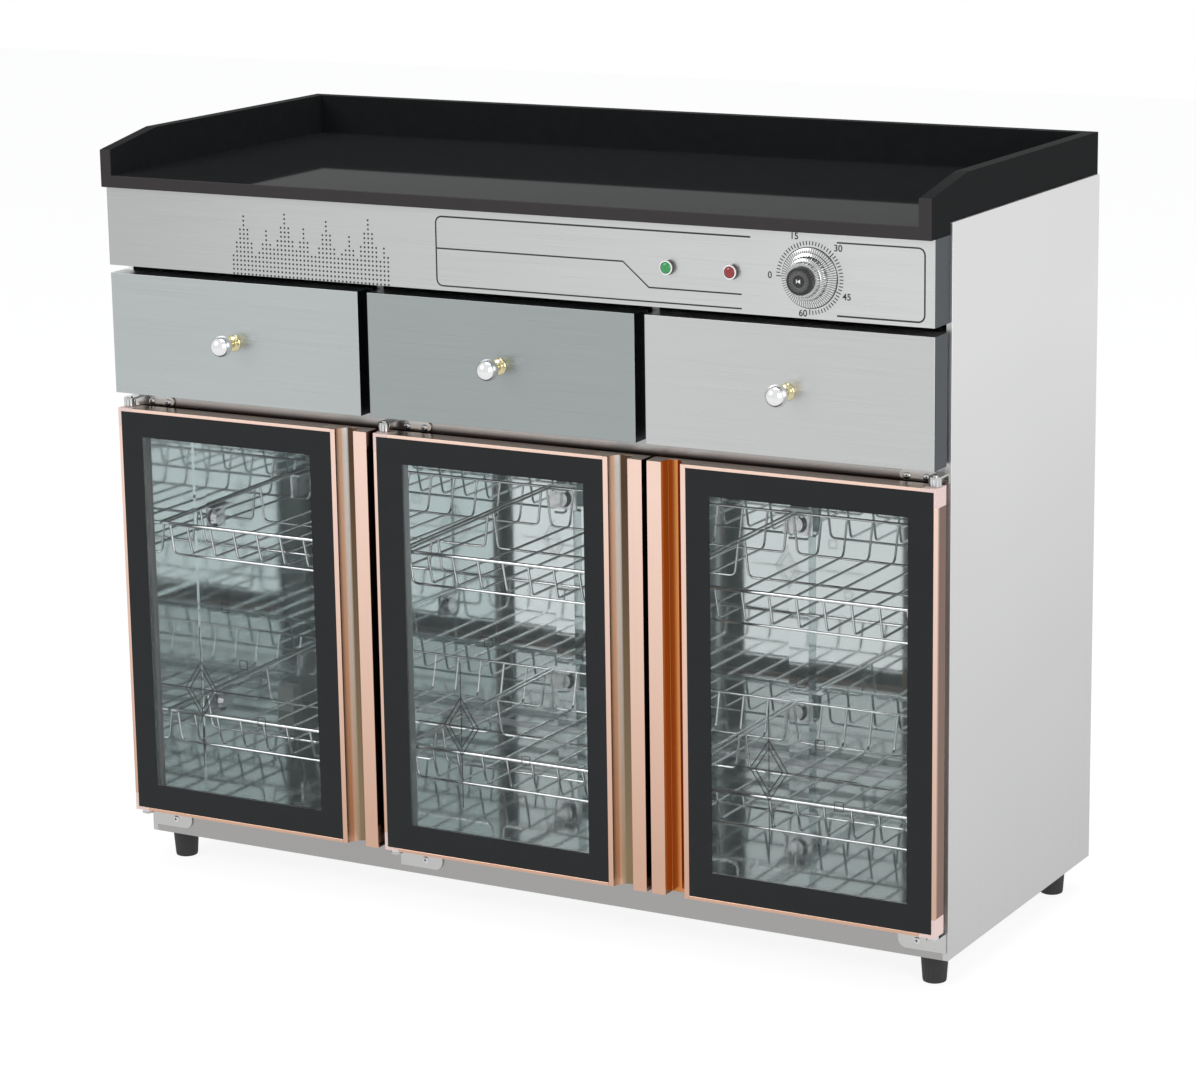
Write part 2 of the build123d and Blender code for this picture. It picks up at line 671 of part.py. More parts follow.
# ---------------------------------------------------------------- heater and cord inlet
def heater_tube():
    line = Plane(origin=(-TUBE_LENGTH / 2, TUBE_D, TUBE_Z), z_dir=(1, 0, 0))
    return extrude(line * Circle(TUBE_R), TUBE_LENGTH)


def heater_holder(side):
    end = side * TUBE_LENGTH / 2
    half = HOLDER / 2
    body = block(end - side * HOLDER, end + side * 6, TUBE_D - half, TUBE_D + half,
                 BASE_TOP, TUBE_Z + half)
    body = fillet(body.edges().filter_by(Axis.X).group_by(Axis.Z)[-1], half * 0.6)
    line = Plane(origin=(end - side * (HOLDER + 1), TUBE_D, TUBE_Z), z_dir=(side, 0, 0))
    return body - extrude(line * Circle(TUBE_R + SHAFT_FIT), HOLDER + 1)


def cord_gland():
    face = CHAMBER_BACK + SHEET
    stem = GLAND_R * 0.7 - SHAFT_FIT
    points = (
        (GLAND_BORE_R, CHAMBER_BACK - 6), (stem, CHAMBER_BACK - 6), (stem, face),
        (GLAND_R, face), (GLAND_R, face + 4), (GLAND_R * 0.7, face + 14),
        (GLAND_BORE_R, face + 14),
    )
    return turned(points, GLAND_X, GLAND_Z)


# ---------------------------------------------------------------- build
def main():
    for name, side in (("left", -1), ("right", 1)):
        save(f"side_panel_{name}", side_panel(side))
        save(f"side_liner_{name}", side_liner(side))
        save(f"front_stile_{name}", front_stile(name))
        save(f"drawer_divider_{name}", drawer_divider(side))
    save("back_panel", back_panel())
    save("base_panel", base_panel())
    save("drawer_deck", drawer_deck())
    save("feet", group(foot(x, d) for x, d in foot_places()))
    save("worktop_tray", worktop_tray())

    save("control_fascia", control_fascia())
    save("timer_switch", timer_switch())
    save("timer_dial", timer_dial())
    save("timer_cap", timer_cap())
    save("lamp_bezels", group(lamp_bezel(x) for x in LAMP_XS.values()))
    for colour, x in LAMP_XS.items():
        save(f"lamp_lens_{colour}", lamp_lens(x))

    for name, x in DRAWER_XS.items():
        save(f"drawer_front_{name}", drawer_front(x))
        save(f"drawer_box_{name}", drawer_box(x))
        save(f"drawer_knob_{name}", drawer_knob(x))
    save("drawer_guides", group(drawer_guides()))

    pieces = {
        "door_frame": door_frame(),
        "door_handle": handle_profile(),
        "door_glass": door_glass(),
        "door_corner_caps": corner_caps(),
        "door_gasket": door_gasket(),
    }
    for door in DOORS:
        for piece, shape in pieces.items():
            save(f"{piece}_{door}", place_door(shape, door))

    screws = []
    face = FRONT_SPACE - BRACKET
    for top, name in ((True, "top"), (False, "bottom")):
        shape, places = bracket(top)
        save(f"hinge_brackets_{name}", group(place_door(shape, door) for door in DOORS))
        for door in DOORS:
            heads = [rod(x, z, face - SCREW_HEAD, face, SCREW_R) for x, z in places]
            screws += [place_door(head, door) for head in heads]
    save("bracket_screws", group(screws))
    pins = [place_door(hinge_pin(top), door) for top in (True, False) for door in DOORS]
    save("hinge_pins", group(pins))

    basket = rack()
    for level, floor in RACK_FLOORS.items():
        for name, x in RACK_XS.items():
            save(f"wire_rack_{level}_{name}", Pos(x, 0, floor) * basket)
    save("rack_hooks", group(rack_hooks()))
    save("rack_posts", group(rack_posts()))

    save("heater_tube", heater_tube())
    save("heater_holders", group(heater_holder(side) for side in (-1, 1)))
    save("cord_gland", cord_gland())


main()
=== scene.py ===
# %% [markdown]
# # A dish sterilizer cabinet, dressed for its portrait
# The metal body is already solved: every sheet, hinge and wire is where it should be. This script
# gives each piece the look of the real one. It softens the folded edges, turns the knobs and
# lamps, bends the rack wires round, prints the dial, and lights the whole on white.

# %% The frame
import json
from math import cos, pi, radians, sin

import bmesh
import bpy
from mathutils import Matrix, Vector, geometry

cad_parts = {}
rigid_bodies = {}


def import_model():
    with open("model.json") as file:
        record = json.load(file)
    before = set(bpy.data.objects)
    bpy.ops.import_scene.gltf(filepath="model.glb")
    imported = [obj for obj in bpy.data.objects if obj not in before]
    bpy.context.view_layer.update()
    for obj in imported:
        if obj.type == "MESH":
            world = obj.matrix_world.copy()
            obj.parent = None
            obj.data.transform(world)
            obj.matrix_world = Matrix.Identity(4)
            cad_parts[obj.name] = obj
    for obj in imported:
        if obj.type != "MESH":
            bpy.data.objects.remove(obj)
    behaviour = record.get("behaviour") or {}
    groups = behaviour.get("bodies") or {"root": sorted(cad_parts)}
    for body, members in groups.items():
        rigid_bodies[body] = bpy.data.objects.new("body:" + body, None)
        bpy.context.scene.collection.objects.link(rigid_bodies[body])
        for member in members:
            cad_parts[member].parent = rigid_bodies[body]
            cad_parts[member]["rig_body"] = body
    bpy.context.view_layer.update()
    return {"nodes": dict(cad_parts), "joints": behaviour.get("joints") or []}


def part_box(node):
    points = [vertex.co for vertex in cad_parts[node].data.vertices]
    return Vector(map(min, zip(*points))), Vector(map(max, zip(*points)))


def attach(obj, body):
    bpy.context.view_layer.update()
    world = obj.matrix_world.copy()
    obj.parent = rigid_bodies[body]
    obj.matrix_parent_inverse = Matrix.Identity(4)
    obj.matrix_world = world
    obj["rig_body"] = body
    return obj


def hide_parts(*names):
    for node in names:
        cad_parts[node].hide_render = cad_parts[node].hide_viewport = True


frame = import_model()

MM = 0.001
nodes = frame["nodes"]

# %% [markdown]
# ## Places
# Positions are easier to read as millimetres across the front, millimetres of depth behind the
# drawer fronts, and millimetres above the floor. One helper turns them into the frame's metres.
# The depth of the front plane is taken from the drawer fronts themselves.

# %% Places in millimetres
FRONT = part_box("drawer_front_left")[0].y / MM
THREE = ("left", "middle", "right")
BACKWARD, UPWARD = (0, 1, 0), (0, 0, 1)


def at(x, depth, z):
    return Vector((x * MM, (depth + FRONT) * MM, z * MM))


def size_of(node):
    """(low, high) of a node as x, depth and height in millimetres."""
    low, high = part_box(node)
    shift = Vector((0, FRONT, 0))
    return low / MM - shift, high / MM - shift


print("front plane at y =", round(FRONT, 2), "mm")

# %% [markdown]
# ## Shader maths
# A finish is a small graph of nodes. Written node by node it hides the idea, so one class wraps
# a socket and lets + - and * add the Math nodes. A second one holds a tree and makes any node
# from its type, its settings and what goes into its sockets. The third is a whole material:
# one Principled surface, with shortcuts for position, noise, ranges, tints and bumps.


# %% Signals
class Signal:
    """A number, colour or surface that flows through a graph."""

    def __init__(self, graph, socket):
        self.graph, self.socket = graph, socket

    def maths(self, operation, *values):
        return self.graph.node("ShaderNodeMath", {"operation": operation}, dict(enumerate(values)))

    def __add__(self, other):
        return self.maths("ADD", self, other)

    def __sub__(self, other):
        return self.maths("SUBTRACT", self, other)

    def __rsub__(self, other):
        return self.maths("SUBTRACT", other, self)

    def __mul__(self, other):
        return self.maths("MULTIPLY", self, other)

    def over(self, edge):
        """1 above the edge, else 0."""
        return self.maths("GREATER_THAN", self, edge)

    def size(self):
        return self.maths("ABSOLUTE", self)

    def sine(self):
        return self.maths("SINE", self)

    def angle_from(self, across):
        """The angle of a point that is this far up and that far across."""
        return self.maths("ARCTAN2", self, across)

    __radd__ = __add__
    __rmul__ = __mul__


# %% Graphs and finishes
class Graph:
    """The node tree of a material or a world."""

    def __init__(self, owner):
        owner.use_nodes = True
        self.tree = owner.node_tree
        self.tree.nodes.clear()

    def put(self, socket, value):
        if isinstance(value, Signal):
            self.tree.links.new(value.socket, socket)
        elif isinstance(value, tuple) and len(value) < len(socket.default_value):
            socket.default_value = (*value, 1)
        else:
            socket.default_value = value

    def node(self, kind, settings=None, inputs=None, output=0):
        made = self.tree.nodes.new(kind)
        for name, value in (settings or {}).items():
            setattr(made, name, value)
        for name, value in (inputs or {}).items():
            self.put(made.inputs[name], value)
        return Signal(self, made.outputs[output])


class Finish(Graph):
    """A material made of one Principled surface, and what feeds it."""

    def __init__(self, name, **constants):
        self.material = bpy.data.materials.new(name)
        super().__init__(self.material)
        self.surface = self.tree.nodes.new("ShaderNodeBsdfPrincipled")
        self.output = self.tree.nodes.new("ShaderNodeOutputMaterial")
        self.put(self.output.inputs["Surface"], Signal(self, self.surface.outputs[0]))
        for socket, value in constants.items():
            self.set(socket.replace("_", " "), value)

    def set(self, socket, value):
        self.put(self.surface.inputs[socket], value)

    def place(self):
        """The piece's own coordinates, in the frame's metres."""
        return self.node("ShaderNodeTexCoord", output="Object")

    def along(self, axis):
        return self.node("ShaderNodeSeparateXYZ", inputs={0: self.place()}, output=axis)

    def noise(self, scale, detail=3.0):
        """Noise stretched by a scale for each axis."""
        spot = self.node("ShaderNodeMapping", inputs={"Vector": self.place(), "Scale": scale})
        inputs = {"Vector": spot, "Scale": 1.0, "Detail": detail, "Roughness": 0.55}
        return self.node("ShaderNodeTexNoise", inputs=inputs)

    def between(self, signal, low, high, start=0.3, end=0.7):
        """Maps a signal onto a range of numbers."""
        inputs = {"Value": signal, "From Min": start, "From Max": end, "To Min": low,
                  "To Max": high}
        return self.node("ShaderNodeMapRange", {"clamp": True}, inputs)

    def tint(self, factor, first, second):
        """A colour between two others. Sockets 6 and 7 of a Mix node are its colours."""
        inputs = {0: factor, 6: first, 7: second}
        return self.node("ShaderNodeMix", {"data_type": "RGBA"}, inputs, output=2)

    def bump(self, height, distance):
        inputs = {"Height": height, "Distance": distance}
        self.set("Normal", self.node("ShaderNodeBump", inputs=inputs))


def shade(colour, factor):
    return tuple(min(1.0, channel * factor) for channel in colour)


# %% [markdown]
# ## Brushed steel
# Most of the cabinet is satin stainless sheet. Its grain is a fine scratch pattern that runs one
# way: along the front on the fascia and drawers, and up and down on the side panels. Noise that
# is stretched about a hundred times in one direction gives those streaks. They vary the colour
# a little, the roughness more, and the height by a few hundredths of a millimetre. A fold that
# turns back towards the cabinet gets a painted slate reflection of the dark gap behind it, so a
# drawer's ends look slate. Painted light can also make a sheet lighter towards its right end,
# and painted shade darker towards its foot.

# %% Brushed steel
PAINTED_GAP_REFLECTION = (0.045, 0.055, 0.065)
STREAKS, PATCHES = 0.035, 0.025  # how far scratches and slow patches change the tone
SCRATCH_HEIGHT = 0.00002


def brushed(name, colour, grain, rough=(0.26, 0.40), far_end=1.0, foot_end=1.0, ends=None):
    """far_end and foot_end: painted light and shade, the tone at the right and at the bottom,
    against 1 at the other end. ends: the node whose outer ends get a painted dark reflection."""
    finish = Finish(name, Metallic=1.0)
    scratches = finish.noise(grain, detail=4)
    patches = finish.noise((2.2, 2.2, 2.2), detail=1)
    tone = finish.between(scratches, 1 - STREAKS, 1 + STREAKS, 0.25, 0.75)
    tone = tone * finish.between(patches, 1 - PATCHES, 1 + PATCHES)
    # painted light: the sheet grows lighter towards the right
    if far_end != 1.0:
        tone = tone * finish.between(finish.along("X"), 1.0, far_end, -0.6, 0.6)
    # painted shade: the sheet grows darker towards the bottom
    if foot_end != 1.0:
        tone = tone * finish.between(finish.along("Z"), foot_end, 1.0, 0.05, 0.8)
    spread = finish.between(tone, 0.0, 1.0, 0.6, 1.4)
    base = finish.tint(spread, shade(colour, 0.6), shade(colour, 1.4))
    # painted dark reflection of the gap on the turned-back outer ends
    if ends:
        low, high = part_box(ends)
        off_centre = (finish.along("X") - (low.x + high.x) / 2).size()
        base = finish.tint(off_centre.over((high.x - low.x) / 2 - 0.3 * MM), base, PAINTED_GAP_REFLECTION)
    finish.set("Base Color", base)
    finish.set("Roughness", finish.between(scratches, *rough))
    finish.bump(scratches, SCRATCH_HEIGHT)
    return finish.material


ALONG_FRONT, UPRIGHT, ALONG_BOX = (5.0, 300.0, 620.0), (620.0, 620.0, 4.0), (5.0, 5.0, 500.0)
# painted light and shade: the three drawers are alike, and each gets the tone of the light on it
DRAWER_PAINTED_LIGHT = {"left": (0.445, 0.475, 0.475), "middle": (0.33, 0.36, 0.36),
                "right": (0.53, 0.535, 0.535)}
# painted light: the fascia grows lighter towards its right end
fascia_steel = brushed("fascia_steel", (0.445, 0.452, 0.45), ALONG_FRONT, far_end=1.38,
                       ends="control_fascia")
drawer_steel = {name: brushed(f"drawer_steel_{name}", tone, ALONG_FRONT,
                              ends=f"drawer_front_{name}")
                for name, tone in DRAWER_PAINTED_LIGHT.items()}
# painted shade: the side panels grow darker towards the bottom
side_steel = brushed("side_steel", (0.80, 0.80, 0.80), UPRIGHT, rough=(0.34, 0.5), foot_end=0.65)
bracket_steel = brushed("bracket_steel", (0.50, 0.50, 0.49), ALONG_FRONT, rough=(0.16, 0.26))
frame_steel = brushed("frame_steel", (0.50, 0.505, 0.51), ALONG_FRONT)
box_steel = brushed("box_steel", (0.55, 0.555, 0.56), ALONG_BOX, rough=(0.3, 0.42))
print("brushed steels:", len(bpy.data.materials))

# %% [markdown]
# Two sheets change along the way. The base is a satin rail in front and the chamber's bright
# floor behind. The deck's front strip lies over the doors, and its lower half carries a painted
# brown reflection of their tops.

# %% Base and deck
RAIL_DEPTH = 20 * MM
MIRRORED_LOW, MIRRORED_HIGH = 21 * MM, 11 * MM  # below the deck's top


def rail_and_floor():
    finish = Finish("base_steel", Metallic=1.0)
    scratches = finish.noise(ALONG_FRONT, detail=4)
    inside = finish.along("Y").over(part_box("base_panel")[0].y + RAIL_DEPTH)
    finish.set("Base Color", finish.tint(inside, (0.36, 0.355, 0.35), (0.44, 0.475, 0.47)))
    satin = finish.between(scratches, 0.28, 0.36)
    finish.set("Roughness", satin * (1 - inside) + inside * 0.06)
    return finish.material


def deck_front():
    finish = Finish("deck_steel", Metallic=1.0)
    scratches = finish.noise(ALONG_FRONT, detail=4)
    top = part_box("drawer_deck")[1].z
    # painted reflection: the lower half of the strip is brown, like the door tops below it
    lower = finish.between(finish.along("Z"), 1.0, 0.0, top - MIRRORED_LOW, top - MIRRORED_HIGH)
    finish.set("Base Color", finish.tint(lower, (0.42, 0.42, 0.42), (0.10, 0.072, 0.06)))
    finish.set("Roughness", finish.between(scratches, 0.24, 0.36))
    return finish.material


base_steel, deck_steel = rail_and_floor(), deck_front()
print("two-toned steels:", base_steel.name, deck_steel.name)

# %% [markdown]
# ## Mirror sheet inside
# The chamber is lined with bright sheet, so that light and heat reach every plate. It is nearly
# a mirror with faint waviness. A slow noise in its height bends the reflections a little. Its
# tone carries painted light, lighter on the left and shaded towards the right. The outside of
# the back panel is plain satin grey.

# %% Mirror sheet
BACK_SKIN = 0.6 * MM
WAVE_HEIGHT = 0.00015
liner = Finish("liner_steel", Metallic=1.0)
# painted light: lighter on the left, shaded towards the right
rightward = liner.between(liner.along("X"), 0.0, 1.0, -0.6, 0.6)
lit_left_shaded_right = liner.tint(rightward, (0.68, 0.745, 0.745), (0.59, 0.64, 0.635))
outside = liner.along("Y").over(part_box("back_panel")[0].y + BACK_SKIN)
liner.set("Base Color", liner.tint(outside, lit_left_shaded_right, (0.50, 0.51, 0.51)))
liner.set("Roughness", liner.between(liner.noise((40, 40, 40)), 0.03, 0.06) + outside * 0.33)
liner.bump(liner.noise((7.0, 7.0, 5.0), detail=1), WAVE_HEIGHT)
liner_steel = liner.material
print("mirror sheet nodes:", len(liner.tree.nodes))

# %% [markdown]
# ## Chrome and gold plate
# The racks, screws and knobs are plated and polished. Only their tone and their smoothness
# differ, so one function makes them all.


# %% Plated metals
def plated(name, colour, rough=(0.06, 0.14)):
    finish = Finish(name, Metallic=1.0, Base_Color=colour)
    finish.set("Roughness", finish.between(finish.noise((90, 90, 90)), *rough))
    return finish.material


chrome = plated("chrome", (0.60, 0.61, 0.62), (0.10, 0.20))
wire_chrome = plated("rack_wire", (0.70, 0.72, 0.72), (0.10, 0.20))
knob_silver = plated("knob_silver", (0.76, 0.765, 0.77), (0.05, 0.10))
knob_gold = plated("knob_gold", (0.58, 0.52, 0.32), (0.07, 0.14))
bush_chrome = plated("bush_chrome", (0.42, 0.42, 0.42))
metals = (chrome, wire_chrome, knob_silver, knob_gold, bush_chrome)
print("plated metals:", [metal.name for metal in metals])

# %% [markdown]
# ## Rose gold profiles
# The door frames and pulls are aluminium profiles, anodised in a pale rose gold. Where light
# bounces twice, deep in the finger channel, it turns to copper on the right door and to bands of
# tan, cream highlight and dark shade on the others. One bounce can't give those tones, so they
# are painted in: by depth behind the face, by the share of the way across the pull, and by
# height. The face has painted light too, paler at the top and darker at the bottom. The outer
# sides get a painted brown shade, the inner sides a painted grey reflection, the top ends a
# painted light brown reflection, and the backs are pale again.

# %% Rose gold profiles
# painted light on the face: paler at the top, darker at the bottom
PALE_ROSE = ((0.88, 0.645, 0.55), (0.61, 0.39, 0.29))  # at the top and at the bottom
TOPS_REFLECTION_BROWN, GRAIN_AND_SIDE_SHADE_BROWN, INNER_SIDE_REFLECTION_GREY = (0.44, 0.33, 0.26), (0.16, 0.082, 0.056), (0.34, 0.355, 0.35)
TAN_CHANNEL = [(0.34, (0.80, 0.42, 0.23), (0.55, 0.23, 0.09)),
               (0.38, (1.00, 0.62, 0.40), (0.64, 0.30, 0.15)),
               (0.405, (1.00, 0.97, 0.92), (0.90, 0.55, 0.37)),
               (0.44, (0.95, 0.91, 0.85), (0.55, 0.40, 0.26)),
               (0.475, (0.08, 0.048, 0.03), (0.23, 0.17, 0.10))]
COPPER_CHANNEL = [(0.34, (0.50, 0.20, 0.05), (0.46, 0.17, 0.045)),
                  (0.50, (0.62, 0.28, 0.09), (0.58, 0.24, 0.08)),
                  (0.66, (0.48, 0.19, 0.05), (0.48, 0.18, 0.05))]
END_FADE, RIM_WIDTH = 40 * MM, 20 * MM
FACE_DEPTH, CHANNEL_DEPTH, PULL_BACK = 0.0015, 0.008, 22 * MM
MATT_END, METAL_START = 0.44, 0.475  # shares across the pull; the tan part is nearly matt


def inside_box(x, z, low, high, margin):
    """1 inside a rectangle on the front that is smaller by a margin, else 0."""
    return (x.over(low.x + margin) * (1 - x.over(high.x - margin))
            * z.over(low.z + margin) * (1 - z.over(high.z - margin)))


def rose_gold(door, channel):
    """channel: from the pane's side to the lip, a share of the way across with a colour at the
    top and one at the bottom."""
    finish = Finish(f"door_aluminium_{door}")
    low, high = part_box(f"door_frame_{door}")
    pull_low, pull_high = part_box(f"door_handle_{door}")
    x, y, z = (finish.along(axis) for axis in "XYZ")
    down = finish.between(z, 1.0, 0.0, low.z + END_FADE, high.z - END_FADE)
    on_pull = x.over(pull_low.x + 1 * MM) * (1 - x.over(pull_high.x - 1 * MM))
    near, far = (pull_high.x, pull_low.x) if door == "right" else (pull_low.x, pull_high.x)
    across = finish.between(x, 0.0, 1.0, near, far)
    hollow = finish.tint(down, *channel[0][1:])
    for (before, *_), (place, top, bottom) in zip(channel, channel[1:]):
        hollow = finish.tint(finish.between(across, 0.0, 1.0, before, place), hollow,
                             finish.tint(down, top, bottom))
    # painted light: the face is paler at the top
    face = finish.tint(down, *PALE_ROSE)
    deep = finish.between(y - pull_low.y, 0.0, 1.0, FACE_DEPTH, CHANNEL_DEPTH)
    # painted brown shade on the outer sides, painted grey reflection on the inner sides
    sides = finish.tint(inside_box(x, z, low, high, RIM_WIDTH), GRAIN_AND_SIDE_SHADE_BROWN, INNER_SIDE_REFLECTION_GREY)
    base = finish.tint(deep, face, finish.tint(on_pull, sides, hollow))
    behind = y.over(pull_low.y + PULL_BACK) * on_pull + y.over(high.y - 0.4 * MM)
    base = finish.tint(behind.over(0.5), base, face)
    # painted light brown reflection on the top ends
    base = finish.tint(z.over(high.z - 0.5 * MM), base, TOPS_REFLECTION_BROWN)
    lines = finish.noise((700, 700, 3.0), detail=3)
    tone = finish.between(lines, 0.0, 1.0, 0.2, 0.8)
    # grain lines, darkened towards the same brown
    finish.set("Base Color", finish.tint(tone * 0.06, base, GRAIN_AND_SIDE_SHADE_BROWN))
    if door == "right":
        finish.set("Metallic", 1.0)
    else:
        matt = deep * on_pull * (1 - finish.between(across, 0.0, 1.0, MATT_END, METAL_START))
        finish.set("Metallic", 1 - matt * 0.9)
    finish.set("Roughness", finish.between(lines, 0.14, 0.24))
    finish.bump(lines, 0.000008)
    return finish.material


door_aluminium = {door: rose_gold(door, COPPER_CHANNEL if door == "right" else TAN_CHANNEL)
                  for door in THREE}
print("profile finishes:", list(door_aluminium))

# %% [markdown]
# ## Black worktop, rubber and plastics
# The worktop is a black tray. Its inside is smooth, and at a low angle it mirrors its own back
# wall, and in front of that a band of bright background, so its gloss is kept weak. The rim and
# the outside are satin and a little greyer, and painted light makes the front face lighter
# still. Two masks on the position tell them apart. Rubber and plastic get a fine grain, which
# shows only close up.

# %% Plastics, rubber and paint
WALL, FACE_SKIN = 15.7 * MM, 1.2 * MM


def moulded(name, colour, rough, grain=900.0, height=0.00003, **constants):
    finish = Finish(name, **constants)
    speck = finish.noise((grain, grain, grain), detail=2)
    tone = finish.between(speck, 0.0, 1.0)
    finish.set("Base Color", finish.tint(tone, shade(colour, 0.88), shade(colour, 1.12)))
    finish.set("Roughness", finish.between(speck, rough * 0.85, rough * 1.15))
    finish.bump(speck, height)
    return finish.material


def tray_finish():
    """Gloss black within the walls, satin dark grey on the rim, and painted light on the front
    face.
    """
    low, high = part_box("worktop_tray")
    finish = Finish("tray_black", Specular_IOR_Level=0.0012, Specular_Tint=(0.88, 0.97, 1.0))
    x, y = finish.along("X").size(), finish.along("Y")
    behind_face = y.over(low.y + FACE_SKIN)
    inside = (1 - x.over(high.x - WALL)) * (1 - y.over(high.y - WALL)) * behind_face
    # painted light: the front face is lighter than the rest of the rim
    rim = finish.tint(behind_face, (0.052, 0.047, 0.048), (0.020, 0.0205, 0.021))
    speck = finish.between(finish.noise((60, 60, 60), detail=2), 0.0, 1.0)
    black = finish.tint(speck, (0.0135, 0.0145, 0.015), (0.0155, 0.0165, 0.017))
    finish.set("Base Color", finish.tint(inside, rim, black))
    finish.set("Roughness", finish.between(inside, 0.4, 0.035, 0.0, 1.0))
    return finish.material


tray_black = tray_finish()
rubber = moulded("foot_rubber", (0.014, 0.014, 0.015), 0.55)
gasket_rubber = moulded("gasket_rubber", (0.16, 0.15, 0.145), 0.6)
cap_plastic = moulded("cap_plastic", (0.80, 0.60, 0.56), 0.45)
black_plastic = moulded("black_plastic", (0.012, 0.012, 0.013), 0.28)
print_black = moulded("print_black", (0.012, 0.012, 0.012), 0.4)
pointer_white = moulded("pointer_white", (0.85, 0.85, 0.85), 0.4)
ridge_grey = moulded("ridge_grey", (0.20, 0.20, 0.20), 0.4)
holder_white = moulded("holder_white", (0.75, 0.74, 0.70), 0.6)
border_black = moulded("border_black", (0.005, 0.0065, 0.0075), 0.10, grain=30.0,
                       height=0.000004, Specular_IOR_Level=0.28)
print("finishes so far:", len(bpy.data.materials))

# %% [markdown]
# ## Glass and lenses
# A pane is thin, so light goes straight through it. A Principled surface with a low alpha gives
# that without the cost of refraction: most rays pass, and the gloss stays. The lamps' lenses
# are small coloured domes that glow a little.


# %% Glass and lenses
def clear(name, colour, alpha):
    finish = Finish(name, Base_Color=colour, Alpha=alpha, Roughness=0.03,
                    Specular_IOR_Level=0.5)
    return finish.material


def lens(name, colour, glow):
    finish = Finish(name, Roughness=0.12, Emission_Strength=0.06, Coat_Weight=0.4)
    cells = finish.noise((900, 900, 900), detail=1)
    finish.set("Base Color", finish.tint(finish.between(cells, 0, 1), shade(colour, 0.8), colour))
    finish.set("Emission Color", glow)
    return finish.material


door_glass = clear("door_glass", (0.30, 0.36, 0.36), 0.07)
tube_glass = clear("tube_glass", (0.80, 0.82, 0.84), 0.35)
lenses = {"green": lens("green_lens", (0.015, 0.26, 0.07), (0.05, 0.9, 0.25)),
          "red": lens("red_lens", (0.25, 0.008, 0.015), (0.8, 0.05, 0.04))}
print("glasses and lenses:", 2 + len(lenses))

# %% [markdown]
# ## Dial and lamp rings
# The dial's tiers have fine ridges that run out from its middle. Their light and shade are
# painted as stripes in the tone, and the sine of the angle about the middle draws them. A lamp's
# ring is bright on the rim in front, with a painted dark reflection down its side.

# %% Dial and lamp rings
DIAL_STRIPES = 72
low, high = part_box("timer_dial")
dial_middle = (low + high) / 2


def knurled(name, dark, light, count, middle):
    finish = Finish(name, Metallic=1.0)
    angle = (finish.along("Z") - middle.z).angle_from(finish.along("X") - middle.x)
    # painted light and shade of the ridges: dark and light stripes round the middle
    tone = finish.between((angle * count).sine(), 0.0, 1.0, -0.6, 0.6)
    finish.set("Base Color", finish.tint(tone, dark, light))
    finish.set("Roughness", finish.between(finish.noise((90, 90, 90)), 0.16, 0.26))
    return finish.material


def ring_finish():
    finish = Finish("ring_chrome", Metallic=1.0, Roughness=0.12)
    behind = finish.along("Y") - (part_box("lamp_lens_green")[0].y - 0.4 * MM)
    side = finish.between(behind, 0.0, 1.0, 0.0, 0.0006)
    # painted dark reflection down the ring's side
    finish.set("Base Color", finish.tint(side, (0.86, 0.86, 0.86), (0.16, 0.15, 0.15)))
    return finish.material


dial_chrome = knurled("dial_chrome", (0.24, 0.24, 0.24), (0.66, 0.665, 0.67), DIAL_STRIPES,
                      dial_middle)
ring_chrome = ring_finish()
print("all finishes:", len(bpy.data.materials))

# %% [markdown]
# ## Making pieces
# Every new piece is a bmesh that becomes an object at the origin. It rides on one body, and the
# nodes it stands for are hidden. Sheet pieces keep their own shape: a copy of the node gets its
# edges softened, and weighted normals keep its large faces flat beside the small bevels. The rest
# only change their finish.

# %% Making pieces
SMOOTH_BELOW = 35.0  # degrees between faces


def finished(name, bm, material, smooth=SMOOTH_BELOW):
    """A bmesh as an object in its place, with smooth shading between its sharp edges."""
    mesh = bpy.data.meshes.new(name)
    bm.to_mesh(mesh)
    bm.free()
    mesh.shade_smooth()
    mesh.set_sharp_from_angle(angle=radians(smooth))
    mesh.materials.append(material)
    obj = bpy.data.objects.new(name, mesh)
    bpy.context.scene.collection.objects.link(obj)
    return obj


def piece(name, bm, material, body, slot, *stands_for, smooth=SMOOTH_BELOW):
    """A new piece of the cabinet."""
    bmesh.ops.remove_doubles(bm, verts=bm.verts, dist=1e-6)
    bmesh.ops.recalc_face_normals(bm, faces=bm.faces)
    obj = finished(name, bm, material, smooth)
    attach(obj, body)
    if stands_for:
        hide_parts(*stands_for)


def dress(node, material, edge, segments=2):
    """A copy of a node with softened edges. It stands for that node."""
    bm = bmesh.new()
    bm.from_mesh(nodes[node].data)
    bmesh.ops.remove_doubles(bm, verts=bm.verts, dist=2e-6)
    bmesh.ops.dissolve_limit(bm, angle_limit=radians(1), verts=bm.verts, edges=bm.edges)
    obj = finished(node + "_finished", bm, material)
    bevel = obj.modifiers.new("edges", "BEVEL")
    bevel.width, bevel.segments = edge * MM, segments
    bevel.limit_method, bevel.angle_limit = "ANGLE", radians(SMOOTH_BELOW)
    flat = obj.modifiers.new("flat faces", "WEIGHTED_NORMAL")
    flat.keep_sharp = True
    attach(obj, nodes[node]["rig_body"])
    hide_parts(node)


def coat(material, *names):
    """Gives nodes a finish without touching their shape."""
    for name in names:
        nodes[name].data.materials.clear()
        nodes[name].data.materials.append(material)


# %% [markdown]
# ## Turning
# Knobs, lamps and feet are turned: half an outline is spun about its axis. Ribs and flutes are
# then made as a tool would cut them, by pushing the rim in at equal steps round the axis.


